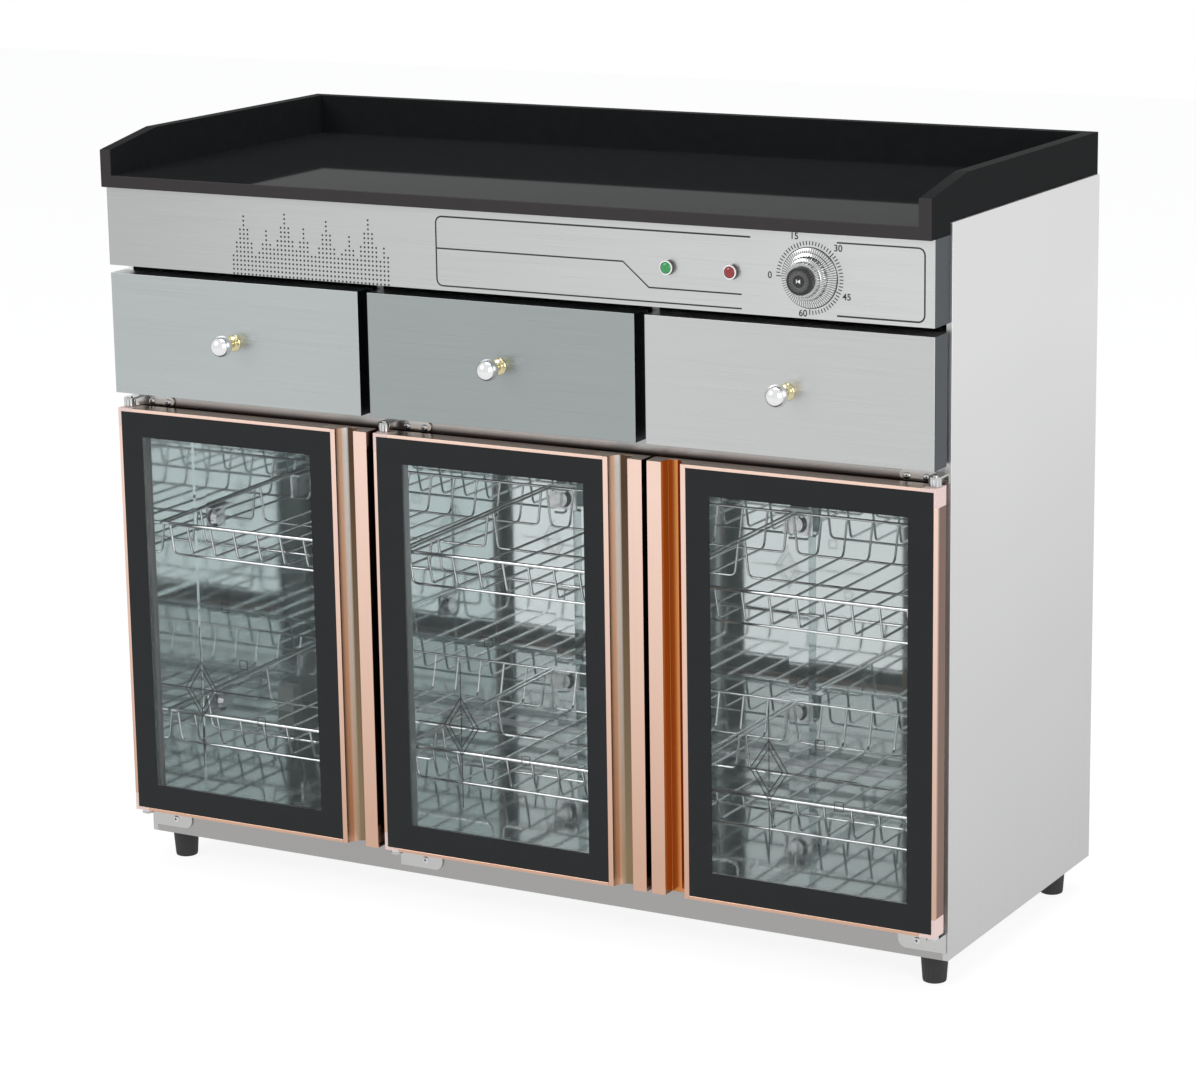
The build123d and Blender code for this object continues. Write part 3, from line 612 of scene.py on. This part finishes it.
# %% Turning
def turn(bm, outline, centre, axis, steps=48):
    """Spins an outline of (radius, distance along the axis) about an axis through centre."""
    axis = Vector(axis)
    out = Vector((1, 0, 0)) if abs(axis.x) < 0.5 else Vector((0, 0, 1))
    verts = [bm.verts.new(centre + (out * r + axis * h) * MM) for r, h in outline]
    edges = [bm.edges.new(pair) for pair in zip(verts, verts[1:])]
    bmesh.ops.spin(bm, geom=verts + edges, cent=centre, axis=axis, angle=2 * pi, steps=steps,
                   use_merge=True)
    bmesh.ops.remove_doubles(bm, verts=bm.verts, dist=1e-6)


def flutes(bm, centre, axis, count, depth, low, high):
    """Pushes the rim of a turned piece in and out, between two radii in millimetres."""
    axis = Vector(axis)
    side = axis.orthogonal().normalized()
    for vert in bm.verts:
        arm = vert.co - centre
        flat = arm - axis * arm.dot(axis)
        if low * MM <= flat.length <= high * MM:
            angle = side.angle(flat)
            if side.cross(flat).dot(axis) < 0:
                angle = -angle
            vert.co -= flat.normalized() * depth * MM * (0.5 + 0.5 * cos(count * angle))


def join(bm, part):
    """Adds one bmesh to another."""
    mesh = bpy.data.meshes.new("part")
    part.to_mesh(mesh)
    part.free()
    bm.from_mesh(mesh)
    bpy.data.meshes.remove(mesh)


# %% [markdown]
# ## Bending
# Wires and printed lines follow a path: a ring is set square to the path at each point, and the
# rings are bridged. Corners are rounded first, as a bent wire is.


# %% Bending
def rounded(points, radius, steps=5):
    """The same path with its corners turned through arcs."""
    path = [points[0]]
    for before, corner, after in zip(points, points[1:], points[2:]):
        back, ahead = (before - corner).normalized(), (after - corner).normalized()
        first, last = corner + back * radius * MM, corner + ahead * radius * MM
        path += geometry.interpolate_bezier(first, first.lerp(corner, 0.6),
                                            last.lerp(corner, 0.6), last, steps)
    return path + [points[-1]]


def sweep(bm, path, radius, sides=8, flat=1.0):
    """A tube along a path. flat squashes its section along the depth axis."""
    rings = []
    up = None
    for i, spot in enumerate(path):
        ahead = (path[min(i + 1, len(path) - 1)] - path[max(i - 1, 0)]).normalized()
        if up is None:
            up = ahead.orthogonal().normalized()
        up = (up - ahead * up.dot(ahead)).normalized()
        turned = Matrix((ahead.cross(up), up, ahead)).transposed().to_4x4()
        made = bmesh.ops.create_circle(bm, segments=sides, radius=radius * MM,
                                       matrix=Matrix.Translation(spot) @ turned)
        rings.append(list({edge for vert in made["verts"] for edge in vert.link_edges}))
        for vert in made["verts"] if flat != 1.0 else ():
            vert.co.y = spot.y + (vert.co.y - spot.y) * flat
    for first, second in zip(rings, rings[1:]):
        bmesh.ops.bridge_loops(bm, edges=first + second)
    for ring in (rings[0], rings[-1]):
        bmesh.ops.contextual_create(bm, geom=ring)


# %% [markdown]
# ## Sheet metal and the worktop
# Sheet is folded over a rounded tool, so no edge on it is truly sharp. A bevel of half a
# millimetre catches the light as the fold does. The black tray is thicker and its edges are
# eased by hand, so its bevel is larger.

# %% Sheet metal and the worktop
dress("worktop_tray", tray_black, 1.6, 3)
for side in ("left", "right"):
    dress(f"side_panel_{side}", side_steel, 0.5)
    coat(liner_steel, f"side_liner_{side}")
    coat(frame_steel, f"front_stile_{side}", f"drawer_divider_{side}")
coat(liner_steel, "back_panel", "rack_posts")
dress("base_panel", base_steel, 0.4)
dress("drawer_deck", deck_steel, 0.4)
dress("control_fascia", fascia_steel, 0.7)
for name in THREE:
    dress(f"drawer_front_{name}", drawer_steel[name], 0.8)
coat(box_steel, "drawer_guides", *[f"drawer_box_{name}" for name in THREE])

# %% [markdown]
# ## Drawer knobs
# Each knob is a polished ball on a gold neck with a round flange. Ball and neck are different
# metals, so they are two pieces, and the ball stands for the whole knob of the frame.

# %% Drawer knobs
KNOB_NECK = [(0, 0), (11, 0), (11, -1.4), (10.2, -2.4), (7.6, -3.0), (5.4, -4.2), (4.8, -7),
             (5.2, -10), (7.6, -14.5), (9.6, -18), (9.8, -20)]
for name in THREE:
    low, high = size_of(f"drawer_knob_{name}")
    foot = at((low.x + high.x) / 2, 0, (low.z + high.z) / 2)
    radius = (high.x - low.x) / 2
    ball = foot - Vector((0, (-low.y - radius) * MM, 0))
    bm = bmesh.new()
    bmesh.ops.create_uvsphere(bm, u_segments=40, v_segments=24, radius=radius * MM,
                              matrix=Matrix.Translation(ball))
    piece(f"knob_ball_{name}", bm, knob_silver, f"drawer_{name}", "knob_metal",
          f"drawer_knob_{name}", smooth=60)
    bm = bmesh.new()
    turn(bm, KNOB_NECK, foot, BACKWARD)
    piece(f"knob_neck_{name}", bm, knob_gold, f"drawer_{name}", "knob_metal")
print("knob ball radius:", round(radius, 2), "mm")

# %% [markdown]
# ## The print on the fascia
# A thin black line frames the lamps and the timer, with rounded corners and a break around the
# dial. It is printed ink, so each line is a flat strip a twentieth of a millimetre proud.


# %% Printed lines
def ink(bm, points, width=2.7, corner=0.0):
    path = [at(x, -0.08, z) for x, z in points]
    if corner:
        path = rounded(path, corner, 8)
    sweep(bm, path, width / 2, sides=4, flat=0.12)


low, high = size_of("control_fascia")
BORDER_LEFT, BORDER_RIGHT, BORDER_CORNER = -88.0, high.x - 13.5, 9
BORDER_LOW, BORDER_HIGH = low.z + 6.0, high.z - 11.0
LOW_BREAK, HIGH_BREAK, BREAK_END = 343, 355, 470  # where the lines stop beside the dial
STEP_HIGH, STEP_LOW = BORDER_LOW + 47.5, BORDER_LOW + 17.5
STEP_START, STEP_END = 180, 216
bm = bmesh.new()
ink(bm, [(LOW_BREAK, BORDER_LOW), (BORDER_LEFT, BORDER_LOW), (BORDER_LEFT, BORDER_HIGH),
         (HIGH_BREAK, BORDER_HIGH)], corner=BORDER_CORNER)
ink(bm, [(BREAK_END, BORDER_HIGH), (BORDER_RIGHT, BORDER_HIGH), (BORDER_RIGHT, BORDER_LOW),
         (BREAK_END, BORDER_LOW)], corner=BORDER_CORNER)
ink(bm, [(BORDER_LEFT, STEP_HIGH), (STEP_START, STEP_HIGH), (STEP_END, STEP_LOW),
         (LOW_BREAK, STEP_LOW)])
print("printed line faces:", len(bm.faces))
piece("fascia_border_print", bm, print_black, "cabinet", "timer_cap")

# %% [markdown]
# Left of the frame there is a field of small dots, in columns of unequal height. A dot is a
# ten-sided disc, because nearly three hundred of them are made. The columns step down on both
# sides of each peak.

# %% The dot field
DOT_R, DOT_PITCH = 1.45, 5.8
DOT_LEFT, DOT_COLUMNS = -398.0, 42
DOT_BASE = BORDER_LOW - 4.5
PEAKS = {3: 14, 9: 11, 14: 15, 19: 12, 25: 14, 31: 11, 36: 15, 40: 9}  # column: rows
bm = bmesh.new()
for column in range(DOT_COLUMNS):
    tall = max(rows - 3 * abs(column - peak) for peak, rows in PEAKS.items())
    for row in range(max(tall, 5 + column % 3)):
        spot = at(DOT_LEFT + column * DOT_PITCH, -0.03, DOT_BASE + row * DOT_PITCH)
        bmesh.ops.create_circle(bm, cap_ends=True, segments=10, radius=DOT_R * MM,
                                matrix=Matrix.Translation(spot) @ Matrix.Rotation(pi / 2, 4, "X"))
print("dots:", len(bm.faces))
piece("fascia_dots", bm, print_black, "cabinet", "timer_cap")

# %% [markdown]
# ## The dial's scale
# Minutes are marked around the dial from nine o'clock, clockwise through three quarters of a
# turn, outside a thin ring. Five numbers stand at equal steps. They are Blender text turned into
# a mesh and then moved to their place. The last one stands a little nearer to the dial, clear of
# the printed border.

# %% The dial's scale
SCALE_TURN, TICKS, LONG_EVERY = 270.0, 48, 12
SCALE_INNER, SCALE_OUTER, RING = 39.5, 44.5, 36.9
NUMBER_HEIGHT, NUMBER_RADIUS = 8.0, SCALE_OUTER + 8.5
DIAL_X, DIAL_Z = dial_middle.x / MM, dial_middle.z / MM
DIAL = at(DIAL_X, 0, DIAL_Z)


def dial_place(angle, radius):
    """A point on the fascia, at an angle clockwise from nine o'clock."""
    return DIAL_X - radius * cos(radians(angle)), DIAL_Z + radius * sin(radians(angle))


bm = bmesh.new()
for i in range(TICKS + 1):
    angle = SCALE_TURN * i / TICKS
    inner = SCALE_INNER - (0 if i % LONG_EVERY else 1.5)
    ink(bm, [dial_place(angle, inner), dial_place(angle, SCALE_OUTER)], 1.7)
ink(bm, [dial_place(angle, RING) for angle in range(0, 361, 6)], 1.3)
print("scale faces:", len(bm.faces))
piece("dial_scale_print", bm, print_black, "cabinet", "timer_cap")


# %% The numbers
def number(label, x, z):
    curve = bpy.data.curves.new("number_" + label, "FONT")
    curve.body, curve.size = label, NUMBER_HEIGHT * MM / 0.7
    curve.extrude, curve.offset = 0.00005, 0.00018
    curve.align_x, curve.align_y = "CENTER", "CENTER"
    text = bpy.data.objects.new("number_" + label, curve)
    bpy.context.scene.collection.objects.link(text)
    graph = bpy.context.evaluated_depsgraph_get()
    mesh = bpy.data.meshes.new_from_object(text.evaluated_get(graph))
    bpy.data.objects.remove(text)
    mesh.transform(Matrix.Translation(at(x, -0.02, z)) @ Matrix.Rotation(pi / 2, 4, "X"))
    bm = bmesh.new()
    bm.from_mesh(mesh)
    piece("dial_number_" + label, bm, print_black, "cabinet", "timer_cap")


for step, label in enumerate(("0", "15", "30", "45")):
    number(label, *dial_place(SCALE_TURN * step / 4, NUMBER_RADIUS))
number("60", DIAL_X - 9.0, DIAL_Z - 43.5)

# %% [markdown]
# ## The timer knob
# The dial is turned in tiers, each with a knurled rim, and a black cap sits in its middle. The
# knurls are made by pushing the spun rim in and out. Grey ridges run round the cap's face, and a
# small white arrow on it marks zero.

# %% The timer knob
DIAL_TIERS = [(0, -0.3), (36, -0.3), (36.3, -1.2), (36, -2.4), (33.5, -3.2), (31, -3.6),
              (30.5, -4.4), (28.6, -5.0), (27.2, -6.0), (26.6, -7.5), (26.4, -12),
              (25.2, -13.2), (22.5, -14), (21.8, -15), (21.4, -20.5), (20.4, -21.6),
              (18.5, -22), (0, -22)]
CAP = [(0, -21.8), (17.4, -21.8), (17.6, -23), (17.4, -28.2), (16.4, -29.6), (14.6, -30),
       (0, -30)]
bm = bmesh.new()
turn(bm, DIAL_TIERS, DIAL, BACKWARD, steps=192)
flutes(bm, DIAL, BACKWARD, 48, 0.8, 26.0, 27.3)
flutes(bm, DIAL, BACKWARD, 48, 0.7, 21.2, 22.0)
piece("timer_dial_finished", bm, dial_chrome, "timer", "timer_dial", "timer_dial", smooth=28)
bm = bmesh.new()
turn(bm, CAP, DIAL, BACKWARD, steps=144)
flutes(bm, DIAL, BACKWARD, 36, 0.8, 17.2, 17.8)
piece("timer_cap_finished", bm, black_plastic, "timer", "timer_cap", "timer_cap", smooth=28)
coat(black_plastic, "timer_switch")
print("dial and cap radii:", max(r for r, _ in DIAL_TIERS), max(r for r, _ in CAP), "mm")

# %% Pointer and ridges
RIDGES, RIDGE_RADIUS, RIDGE_SIZE = 40, 10.4, (0.55, 0.2, 5.6)
POINTER_SIZE, POINTER_DEPTH, RIDGE_DEPTH = (0.9, 0.3, 4.6), -30.1, -30.05


def bar(bm, place, size):
    """A block of a size in millimetres."""
    scale = Matrix.Diagonal((*(side * MM for side in size), 1))
    bmesh.ops.create_cube(bm, size=1, matrix=place @ scale)


bm = bmesh.new()
arrow = Matrix.Translation(at(DIAL_X + 0.6, POINTER_DEPTH, DIAL_Z))
arrow = arrow @ Matrix.Rotation(pi / 2, 4, "X") @ Matrix.Rotation(pi / 2, 4, "Z")
bmesh.ops.create_cone(bm, cap_ends=True, segments=3, radius1=3.0 * MM, radius2=3.0 * MM,
                      depth=0.3 * MM, matrix=arrow)
bar(bm, Matrix.Translation(at(DIAL_X - 2.9, POINTER_DEPTH, DIAL_Z)), POINTER_SIZE)
piece("timer_pointer", bm, pointer_white, "timer", "timer_cap")
bm = bmesh.new()
for i in range(RIDGES):
    turned = Matrix.Rotation(2 * pi * i / RIDGES, 4, "Y")
    place = Matrix.Translation(at(DIAL_X, RIDGE_DEPTH, DIAL_Z)) @ turned
    bar(bm, place @ Matrix.Translation((0, 0, RIDGE_RADIUS * MM)), RIDGE_SIZE)
print("ridge faces:", len(bm.faces))
piece("cap_ridges", bm, ridge_grey, "timer", "timer_cap")

# %% [markdown]
# ## Lamps
# Two indicator lamps sit in stepped chrome rings. A ring's outline runs round both its outside
# and its bore, so that it is a closed solid once it is spun.

# %% Lamps
LAMP_RING = [(7.1, 0), (9.8, 0), (9.8, -0.8), (8.7, -1.3), (8.5, -5.6), (8.9, -6.2),
             (8.9, -6.9), (8.3, -7.3), (7.3, -7.2), (7.1, -6.4), (7.1, 0)]
LAMP_LENS = [(0, 0), (6.9, 0), (6.9, -6.6), (6.3, -7.6), (4.9, -8.4), (2.8, -8.9), (0, -9)]
rings_bm = bmesh.new()
for colour in lenses:
    node = f"lamp_lens_{colour}"
    low, high = size_of(node)
    lamp = at((low.x + high.x) / 2, 0, (low.z + high.z) / 2)
    turn(rings_bm, LAMP_RING, lamp, BACKWARD)
    bm = bmesh.new()
    turn(bm, LAMP_LENS, lamp, BACKWARD)
    piece(f"{colour}_lens", bm, lenses[colour], "cabinet", node, node, smooth=60)
print("ring faces:", len(rings_bm.faces))
piece("lamp_rings", rings_bm, ring_chrome, "cabinet", "lamp_bezels", "lamp_bezels")

# %% [markdown]
# ## Doors
# A door is a pane with a black printed border, held by rose gold profiles and closed by a wide
# pull. The border is a thin sheet right on the face of the glass, a little behind the lip of the
# frame, with the window cut out. The middle door's window stands a little off centre.

# %% Doors
BORDER = {"left": (33, 33), "middle": (38, 28), "right": (33, 33)}
BORDER_TOP, BORDER_BOTTOM = 33.0, 34.5
INK_PROUD = 0.14  # of the face of the glass
INK_THICK = 0.0001


def border_print(bm, low, high, left, right):
    """A rectangular ring on the glass: two rectangles of edge, bridged and given a thickness."""
    face = low.y - INK_PROUD
    corners = [(low.x, low.z), (high.x, low.z), (high.x, high.z), (low.x, high.z)]
    window = [(low.x + left, low.z + BORDER_BOTTOM), (high.x - right, low.z + BORDER_BOTTOM),
              (high.x - right, high.z - BORDER_TOP), (low.x + left, high.z - BORDER_TOP)]
    for outline in (corners, window):
        ring = [bm.verts.new(at(x, face, z)) for x, z in outline]
        for first, second in zip(ring, ring[1:] + ring[:1]):
            bm.edges.new((first, second))
    bmesh.ops.bridge_loops(bm, edges=bm.edges[:])
    bmesh.ops.recalc_face_normals(bm, faces=bm.faces)
    bmesh.ops.solidify(bm, geom=bm.faces[:], thickness=INK_THICK)
    return window


windows = {}
for name in THREE:
    dress(f"door_handle_{name}", door_aluminium[name], 0.5)
    dress(f"door_frame_{name}", door_aluminium[name], 0.4)
    dress(f"door_corner_caps_{name}", cap_plastic, 0.7)
    coat(door_glass, f"door_glass_{name}")
    coat(gasket_rubber, f"door_gasket_{name}")
    bm = bmesh.new()
    windows[name] = border_print(bm, *size_of(f"door_glass_{name}"), *BORDER[name])
    piece(f"glass_border_{name}", bm, border_black, f"door_{name}", "door_glass")
print("windows:", {name: [round(v) for v in window[0]] for name, window in windows.items()})

# %% [markdown]
# ## A line drawing on the panes
# Each window carries a sparse drawing in thin dark lines. This one is a plain design of nested
# diamonds on a long stem, with a few small squares.

# %% Line drawing
DIAMONDS = (26, 19)
STEM_LOW, STEM_HIGH = 36, 232  # above the window's lower edge
SQUARE = [(-6, -6), (6, -6), (6, 6), (-6, 6), (-6, -6)]
SQUARE_PLACES = ((70, 42), (96, -34), (44, 118))  # from the diamonds' middle


def diamond(cx, cz, reach):
    return [(cx - reach, cz), (cx, cz + reach * 1.5), (cx + reach, cz), (cx, cz - reach * 1.5),
            (cx - reach, cz)]


def drawn(bm, points, depth, width=1.7):
    for first, second in zip(points, points[1:]):
        path = [at(first[0], depth, first[1]), at(second[0], depth, second[1])]
        sweep(bm, path, width / 2, sides=4, flat=0.15)


for name in THREE:
    (x0, z0), _, (x1, z1), _ = windows[name]
    depth = size_of(f"door_glass_{name}")[0].y - INK_PROUD
    cx, cz = x0 + (x1 - x0) * 0.30, z0 + (z1 - z0) * 0.30
    bm = bmesh.new()
    for reach in DIAMONDS:
        drawn(bm, diamond(cx, cz, reach), depth)
    drawn(bm, [(cx, z0 + STEM_LOW), (cx, z0 + STEM_HIGH)], depth)
    drawn(bm, [(x0 + 14, cz), (x1 - 66, cz)], depth)
    for dx, dz in SQUARE_PLACES:
        drawn(bm, [(cx + dx + a, cz + dz + b) for a, b in SQUARE], depth, 1.4)
    print("drawing faces,", name, len(bm.faces))
    piece(f"pane_drawing_{name}", bm, print_black, f"door_{name}", "door_glass")

# %% [markdown]
# ## Hinges
# Each door turns on pins held by small angle brackets that are screwed to the rails. The upper
# pin carries a fluted bush between door and bracket.

# %% Hinges
BUSH = [(4.2, 0), (7.4, 0), (7.8, 0.5), (7.8, 8.9), (7.4, 9.4), (4.2, 9.4), (4.2, 0)]
for name in ("hinge_brackets_top", "hinge_brackets_bottom"):
    dress(name, bracket_steel, 0.4)
coat(chrome, "hinge_pins")
door_top = size_of("door_frame_left")[1].z
pivots = [joint["pos_m"] for joint in frame["joints"] if joint["name"].endswith("door_hinge")]
bm = bmesh.new()
for x, y, _ in pivots:
    foot = Vector((x, y, (door_top + 0.4) * MM))
    bush = bmesh.new()
    turn(bush, BUSH, foot, UPWARD, steps=72)
    flutes(bush, foot, UPWARD, 12, 1.3, 7.2, 7.9)
    join(bm, bush)
print("bushes:", len(pivots))
piece("hinge_bushes", bm, bush_chrome, "cabinet", "hinge_pins")

# %% [markdown]
# The screws have low domes with a cross recess. Their places are read from the nine loose
# discs in the node: after a merge, every disc is an island of joined vertices. The recess is
# drawn as black bars on the dome, a painted shade.

# %% Screw heads
SCREW_DOME = [(4.5, 0), (4.5, -0.5), (3.8, -1.1), (2.2, -1.5), (0, -1.6)]
CROSS = ((4.4, 0.3, 1.1), (1.1, 0.3, 4.4))


def island_boxes(node):
    """The low and high corners of each loose solid in a node, in metres."""
    bm = bmesh.new()
    bm.from_mesh(nodes[node].data)
    bmesh.ops.remove_doubles(bm, verts=bm.verts, dist=2e-6)
    left, boxes = set(bm.verts), []
    while left:
        island, edge = set(), [left.pop()]
        while edge:
            vert = edge.pop()
            island.add(vert)
            near = {e.other_vert(vert) for e in vert.link_edges} & left
            left -= near
            edge += near
        spots = [v.co for v in island]
        boxes.append([Vector(map(pick, zip(*spots))) for pick in (min, max)])
    bm.free()
    return boxes


heads = island_boxes("bracket_screws")
print("screws:", len(heads))
bm, recess_shade = bmesh.new(), bmesh.new()
for low, high in heads:
    seat = Vector(((low.x + high.x) / 2, high.y, (low.z + high.z) / 2))
    turn(bm, SCREW_DOME, seat, BACKWARD, 24)
    # painted shade: black bars stand for the cross recess
    for size in CROSS:
        bar(recess_shade, Matrix.Translation(seat - Vector((0, 1.5 * MM, 0))), size)
piece("screw_domes", bm, chrome, "cabinet", "bracket_screws", "bracket_screws")
piece("screw_recess_shade", recess_shade, print_black, "cabinet", "bracket_screws")

# %% [markdown]
# ## Wire racks
# Every rack is a basket of bent wire. The floor wires run from front to back and turn up at
# both ends, the cross wires turn up at the sides, and a thicker rim ties their tips together.
# The frame's own wires are faceted bars on the same lines, so here the same paths are swept
# round, with true bends.

# %% Wire racks
WIRE_R, RIM_R, REAR_RIM_R = 1.7, 2.5, 2.04
RACK_FRONT, RACK_REAR = 62.0, 450.0
RACK_LEAN, FRONT_RISE, REAR_RISE, RIM_RISE = 12.0, 42.0, 50.0, 2.35
WIRE_COUNT = 9
CROSS_PLACES = (0.0, 0.2, 0.6, 1.0)
BEND = 7.0


def basket(bm, x, width, floor):
    """The wires of one rack, at its own place."""
    half = width / 2 - WIRE_R
    pitch = width / (WIRE_COUNT + 1)
    low_front, low_rear = RACK_FRONT + RACK_LEAN - 1, RACK_REAR - RACK_LEAN

    def run(points, radius, sides=8):
        path = [at(x + px, d, floor + z) for px, d, z in points]
        sweep(bm, rounded(path, BEND) if len(path) > 2 else path, radius, sides)

    for i in range(WIRE_COUNT):
        px = (i - (WIRE_COUNT - 1) / 2) * pitch
        run([(px, RACK_FRONT, FRONT_RISE), (px, low_front, 0), (px, low_rear, 0),
             (px, RACK_REAR, REAR_RISE)], WIRE_R)
    for share in CROSS_PLACES:
        d = low_front + (low_rear - low_front) * share
        deep = (d - RACK_FRONT) / (RACK_REAR - RACK_FRONT)
        rise = FRONT_RISE + (REAR_RISE - FRONT_RISE) * deep
        lean = half - RACK_LEAN / 2
        run([(-half, d, rise), (-lean, d, -3), (lean, d, -3), (half, d, rise)], WIRE_R)
    for side in (-half, half):
        run([(side, RACK_FRONT, FRONT_RISE), (side, RACK_REAR, REAR_RISE)], WIRE_R)
    rim = half + WIRE_R
    run([(-rim, RACK_FRONT, FRONT_RISE), (rim, RACK_FRONT, FRONT_RISE)], RIM_R, 12)
    run([(-rim, RACK_REAR, REAR_RISE), (rim, RACK_REAR, REAR_RISE)], REAR_RIM_R)


for level in ("upper", "lower"):
    for name in THREE:
        node = f"wire_rack_{level}_{name}"
        low, high = size_of(node)
        bm = bmesh.new()
        basket(bm, (low.x + high.x) / 2, high.x - low.x, high.z - REAR_RISE - RIM_RISE)
        faces = len(bm.faces)
        piece(f"rack_{level}_{name}", bm, wire_chrome, "cabinet", "rack_wire", node, smooth=60)
coat(chrome, "rack_hooks")
print("faces of a rack:", faces)

# %% [markdown]
# ## Feet, tube and gland
# The feet are fluted rubber cones. A quartz tube runs low along the back, with a fine coil of
# heating wire inside it. The cord comes in through a gland in the back.

# %% Feet
low, high = size_of("feet")
FOOT_R, top = 18, high.z
FOOT = [(0, 0), (13, 0), (14.6, 0.8), (15.2, 2.4), (17.6, top - 5), (FOOT_R, top - 3),
        (FOOT_R, top), (0, top)]
bm = bmesh.new()
for x in (low.x + FOOT_R, high.x - FOOT_R):
    for d in (low.y + FOOT_R, high.y - FOOT_R):
        foot = bmesh.new()
        turn(foot, FOOT, at(x, d, 0), UPWARD, steps=96)
        flutes(foot, at(x, d, 0), UPWARD, 24, 0.9, 15.0, 17.7)
        join(bm, foot)
print("foot height:", round(top, 1), "mm")
piece("rubber_feet", bm, rubber, "cabinet", "feet", "feet")

# %% Tube and gland
coat(tube_glass, "heater_tube")
coat(holder_white, "heater_holders")
coat(black_plastic, "cord_gland")
low, high = size_of("heater_tube")
TUBE_Y, TUBE_Z = (low.y + high.y) / 2, (low.z + high.z) / 2
TURNS, STEPS, COIL_R, COLD_END = 110, 6, 2.6, 20
bm = bmesh.new()
coil = []
for i in range(TURNS * STEPS + 1):
    angle = 2 * pi * i / STEPS
    x = low.x + COLD_END + (high.x - low.x - 2 * COLD_END) * i / (TURNS * STEPS)
    coil.append(at(x, TUBE_Y + COIL_R * cos(angle), TUBE_Z + COIL_R * sin(angle)))
sweep(bm, coil, 0.5, sides=4)
print("coil length:", round((coil[-1] - coil[0]).length / MM), "mm")
piece("heater_coil", bm, chrome, "cabinet", "heater_tube")

# %% [markdown]
# ## Studio
# The cabinet stands on a white sheet. To the camera, and in reflections and through glass, the
# sheet and the world are almost white, so the picture has no horizon, and the floor still takes
# a soft shadow. The light on the object comes from a plain grey world and three large soft lamps.

# %% Floor and world
SEEN_RAYS = ("Is Camera Ray", "Is Glossy Ray", "Is Transmission Ray")


def seen(graph):
    """1 for the rays that show the background, and 0 for those that only carry its light."""
    camera, glossy, through = [graph.node("ShaderNodeLightPath", output=ray) for ray in SEEN_RAYS]
    return (camera + glossy + through).over(0.5)


def mixed(graph, share, first, second):
    return graph.node("ShaderNodeMixShader", inputs={0: share, 1: first, 2: second})


def studio_floor():
    bm = bmesh.new()
    bmesh.ops.create_grid(bm, x_segments=1, y_segments=1, size=9.0)
    mesh = bpy.data.meshes.new("floor")
    bm.to_mesh(mesh)
    bm.free()
    floor = bpy.data.objects.new("floor", mesh)
    bpy.context.scene.collection.objects.link(floor)
    paper = Finish("floor_paper", Base_Color=(0.88, 0.88, 0.88), Roughness=0.9,
                   Specular_IOR_Level=0.0)
    glow = paper.node("ShaderNodeEmission", inputs={"Strength": 1.12})
    matt = Signal(paper, paper.surface.outputs[0])
    paper.put(paper.output.inputs["Surface"], mixed(paper, seen(paper) * 0.78, matt, glow))
    mesh.materials.append(paper.material)


studio_floor()
world = bpy.data.worlds.new("studio")
bpy.context.scene.world = world
sky = Graph(world)
light = sky.node("ShaderNodeBackground", inputs={"Color": (0.96, 0.98, 1.0), "Strength": 0.55})
white = sky.node("ShaderNodeBackground", inputs={"Color": (1, 1, 1)})
sky_output = sky.tree.nodes.new("ShaderNodeOutputWorld")
sky.put(sky_output.inputs["Surface"], mixed(sky, seen(sky), light, white))
print("world nodes:", len(sky.tree.nodes))

# %% [markdown]
# ## Lamps of the studio
# Large square lamps give soft edges to every highlight. The key stands on the left in front, a
# fill on the right keeps the side panel bright, and a weak one lies over the worktop.


# %% Lamps of the studio
def softbox(name, where, target, size, power):
    data = bpy.data.lights.new(name, "AREA")
    data.shape, data.size, data.energy = "SQUARE", size, power
    box = bpy.data.objects.new(name, data)
    box.location = where
    box.rotation_euler = (Vector(target) - Vector(where)).to_track_quat("-Z", "Y").to_euler()
    bpy.context.scene.collection.objects.link(box)


softbox("key", (-2.6, -3.6, 3.4), (0, 0, 0.4), 2.4, 75)
softbox("fill", (3.8, -2.2, 1.8), (0, 0, 0.5), 2.6, 60)
softbox("top", (0.3, 0.2, 3.6), (0, 0, 0.9), 2.2, 40)
print("lamps:", [light.name for light in bpy.data.lights])

# %% [markdown]
# ## Camera
# The photograph was taken from the right and a little above, with a long lens. These numbers
# come from matching the cabinet's corners.

# %% Camera
FOCAL_PX, IMAGE_WIDTH, SENSOR = 3686.4, 1196, 36.0
CAMERA_PLACE = at(2337.6, -3918.1, 1595.9)
YAW, PITCH, ROLL = 0.51134, 0.23145, -0.01565
camera_data = bpy.data.cameras.new("camera")
camera_data.sensor_fit, camera_data.sensor_width = "HORIZONTAL", SENSOR
camera_data.lens = FOCAL_PX / IMAGE_WIDTH * SENSOR
camera_data.clip_end = 50
camera = bpy.data.objects.new("camera", camera_data)
forward = Vector((-sin(YAW) * cos(PITCH), cos(YAW) * cos(PITCH), -sin(PITCH)))
right = Vector((cos(YAW), sin(YAW), 0))
up = right.cross(forward)
tilted_right = right * cos(ROLL) + up * sin(ROLL)
tilted_up = up * cos(ROLL) - right * sin(ROLL)
turned = Matrix((tilted_right, tilted_up, -forward)).transposed().to_4x4()
camera.matrix_world = Matrix.Translation(CAMERA_PLACE) @ turned
bpy.context.scene.collection.objects.link(camera)
bpy.context.scene.camera = camera
bpy.context.scene.view_settings.view_transform = "Standard"
print("lens:", round(camera_data.lens, 1), "mm")
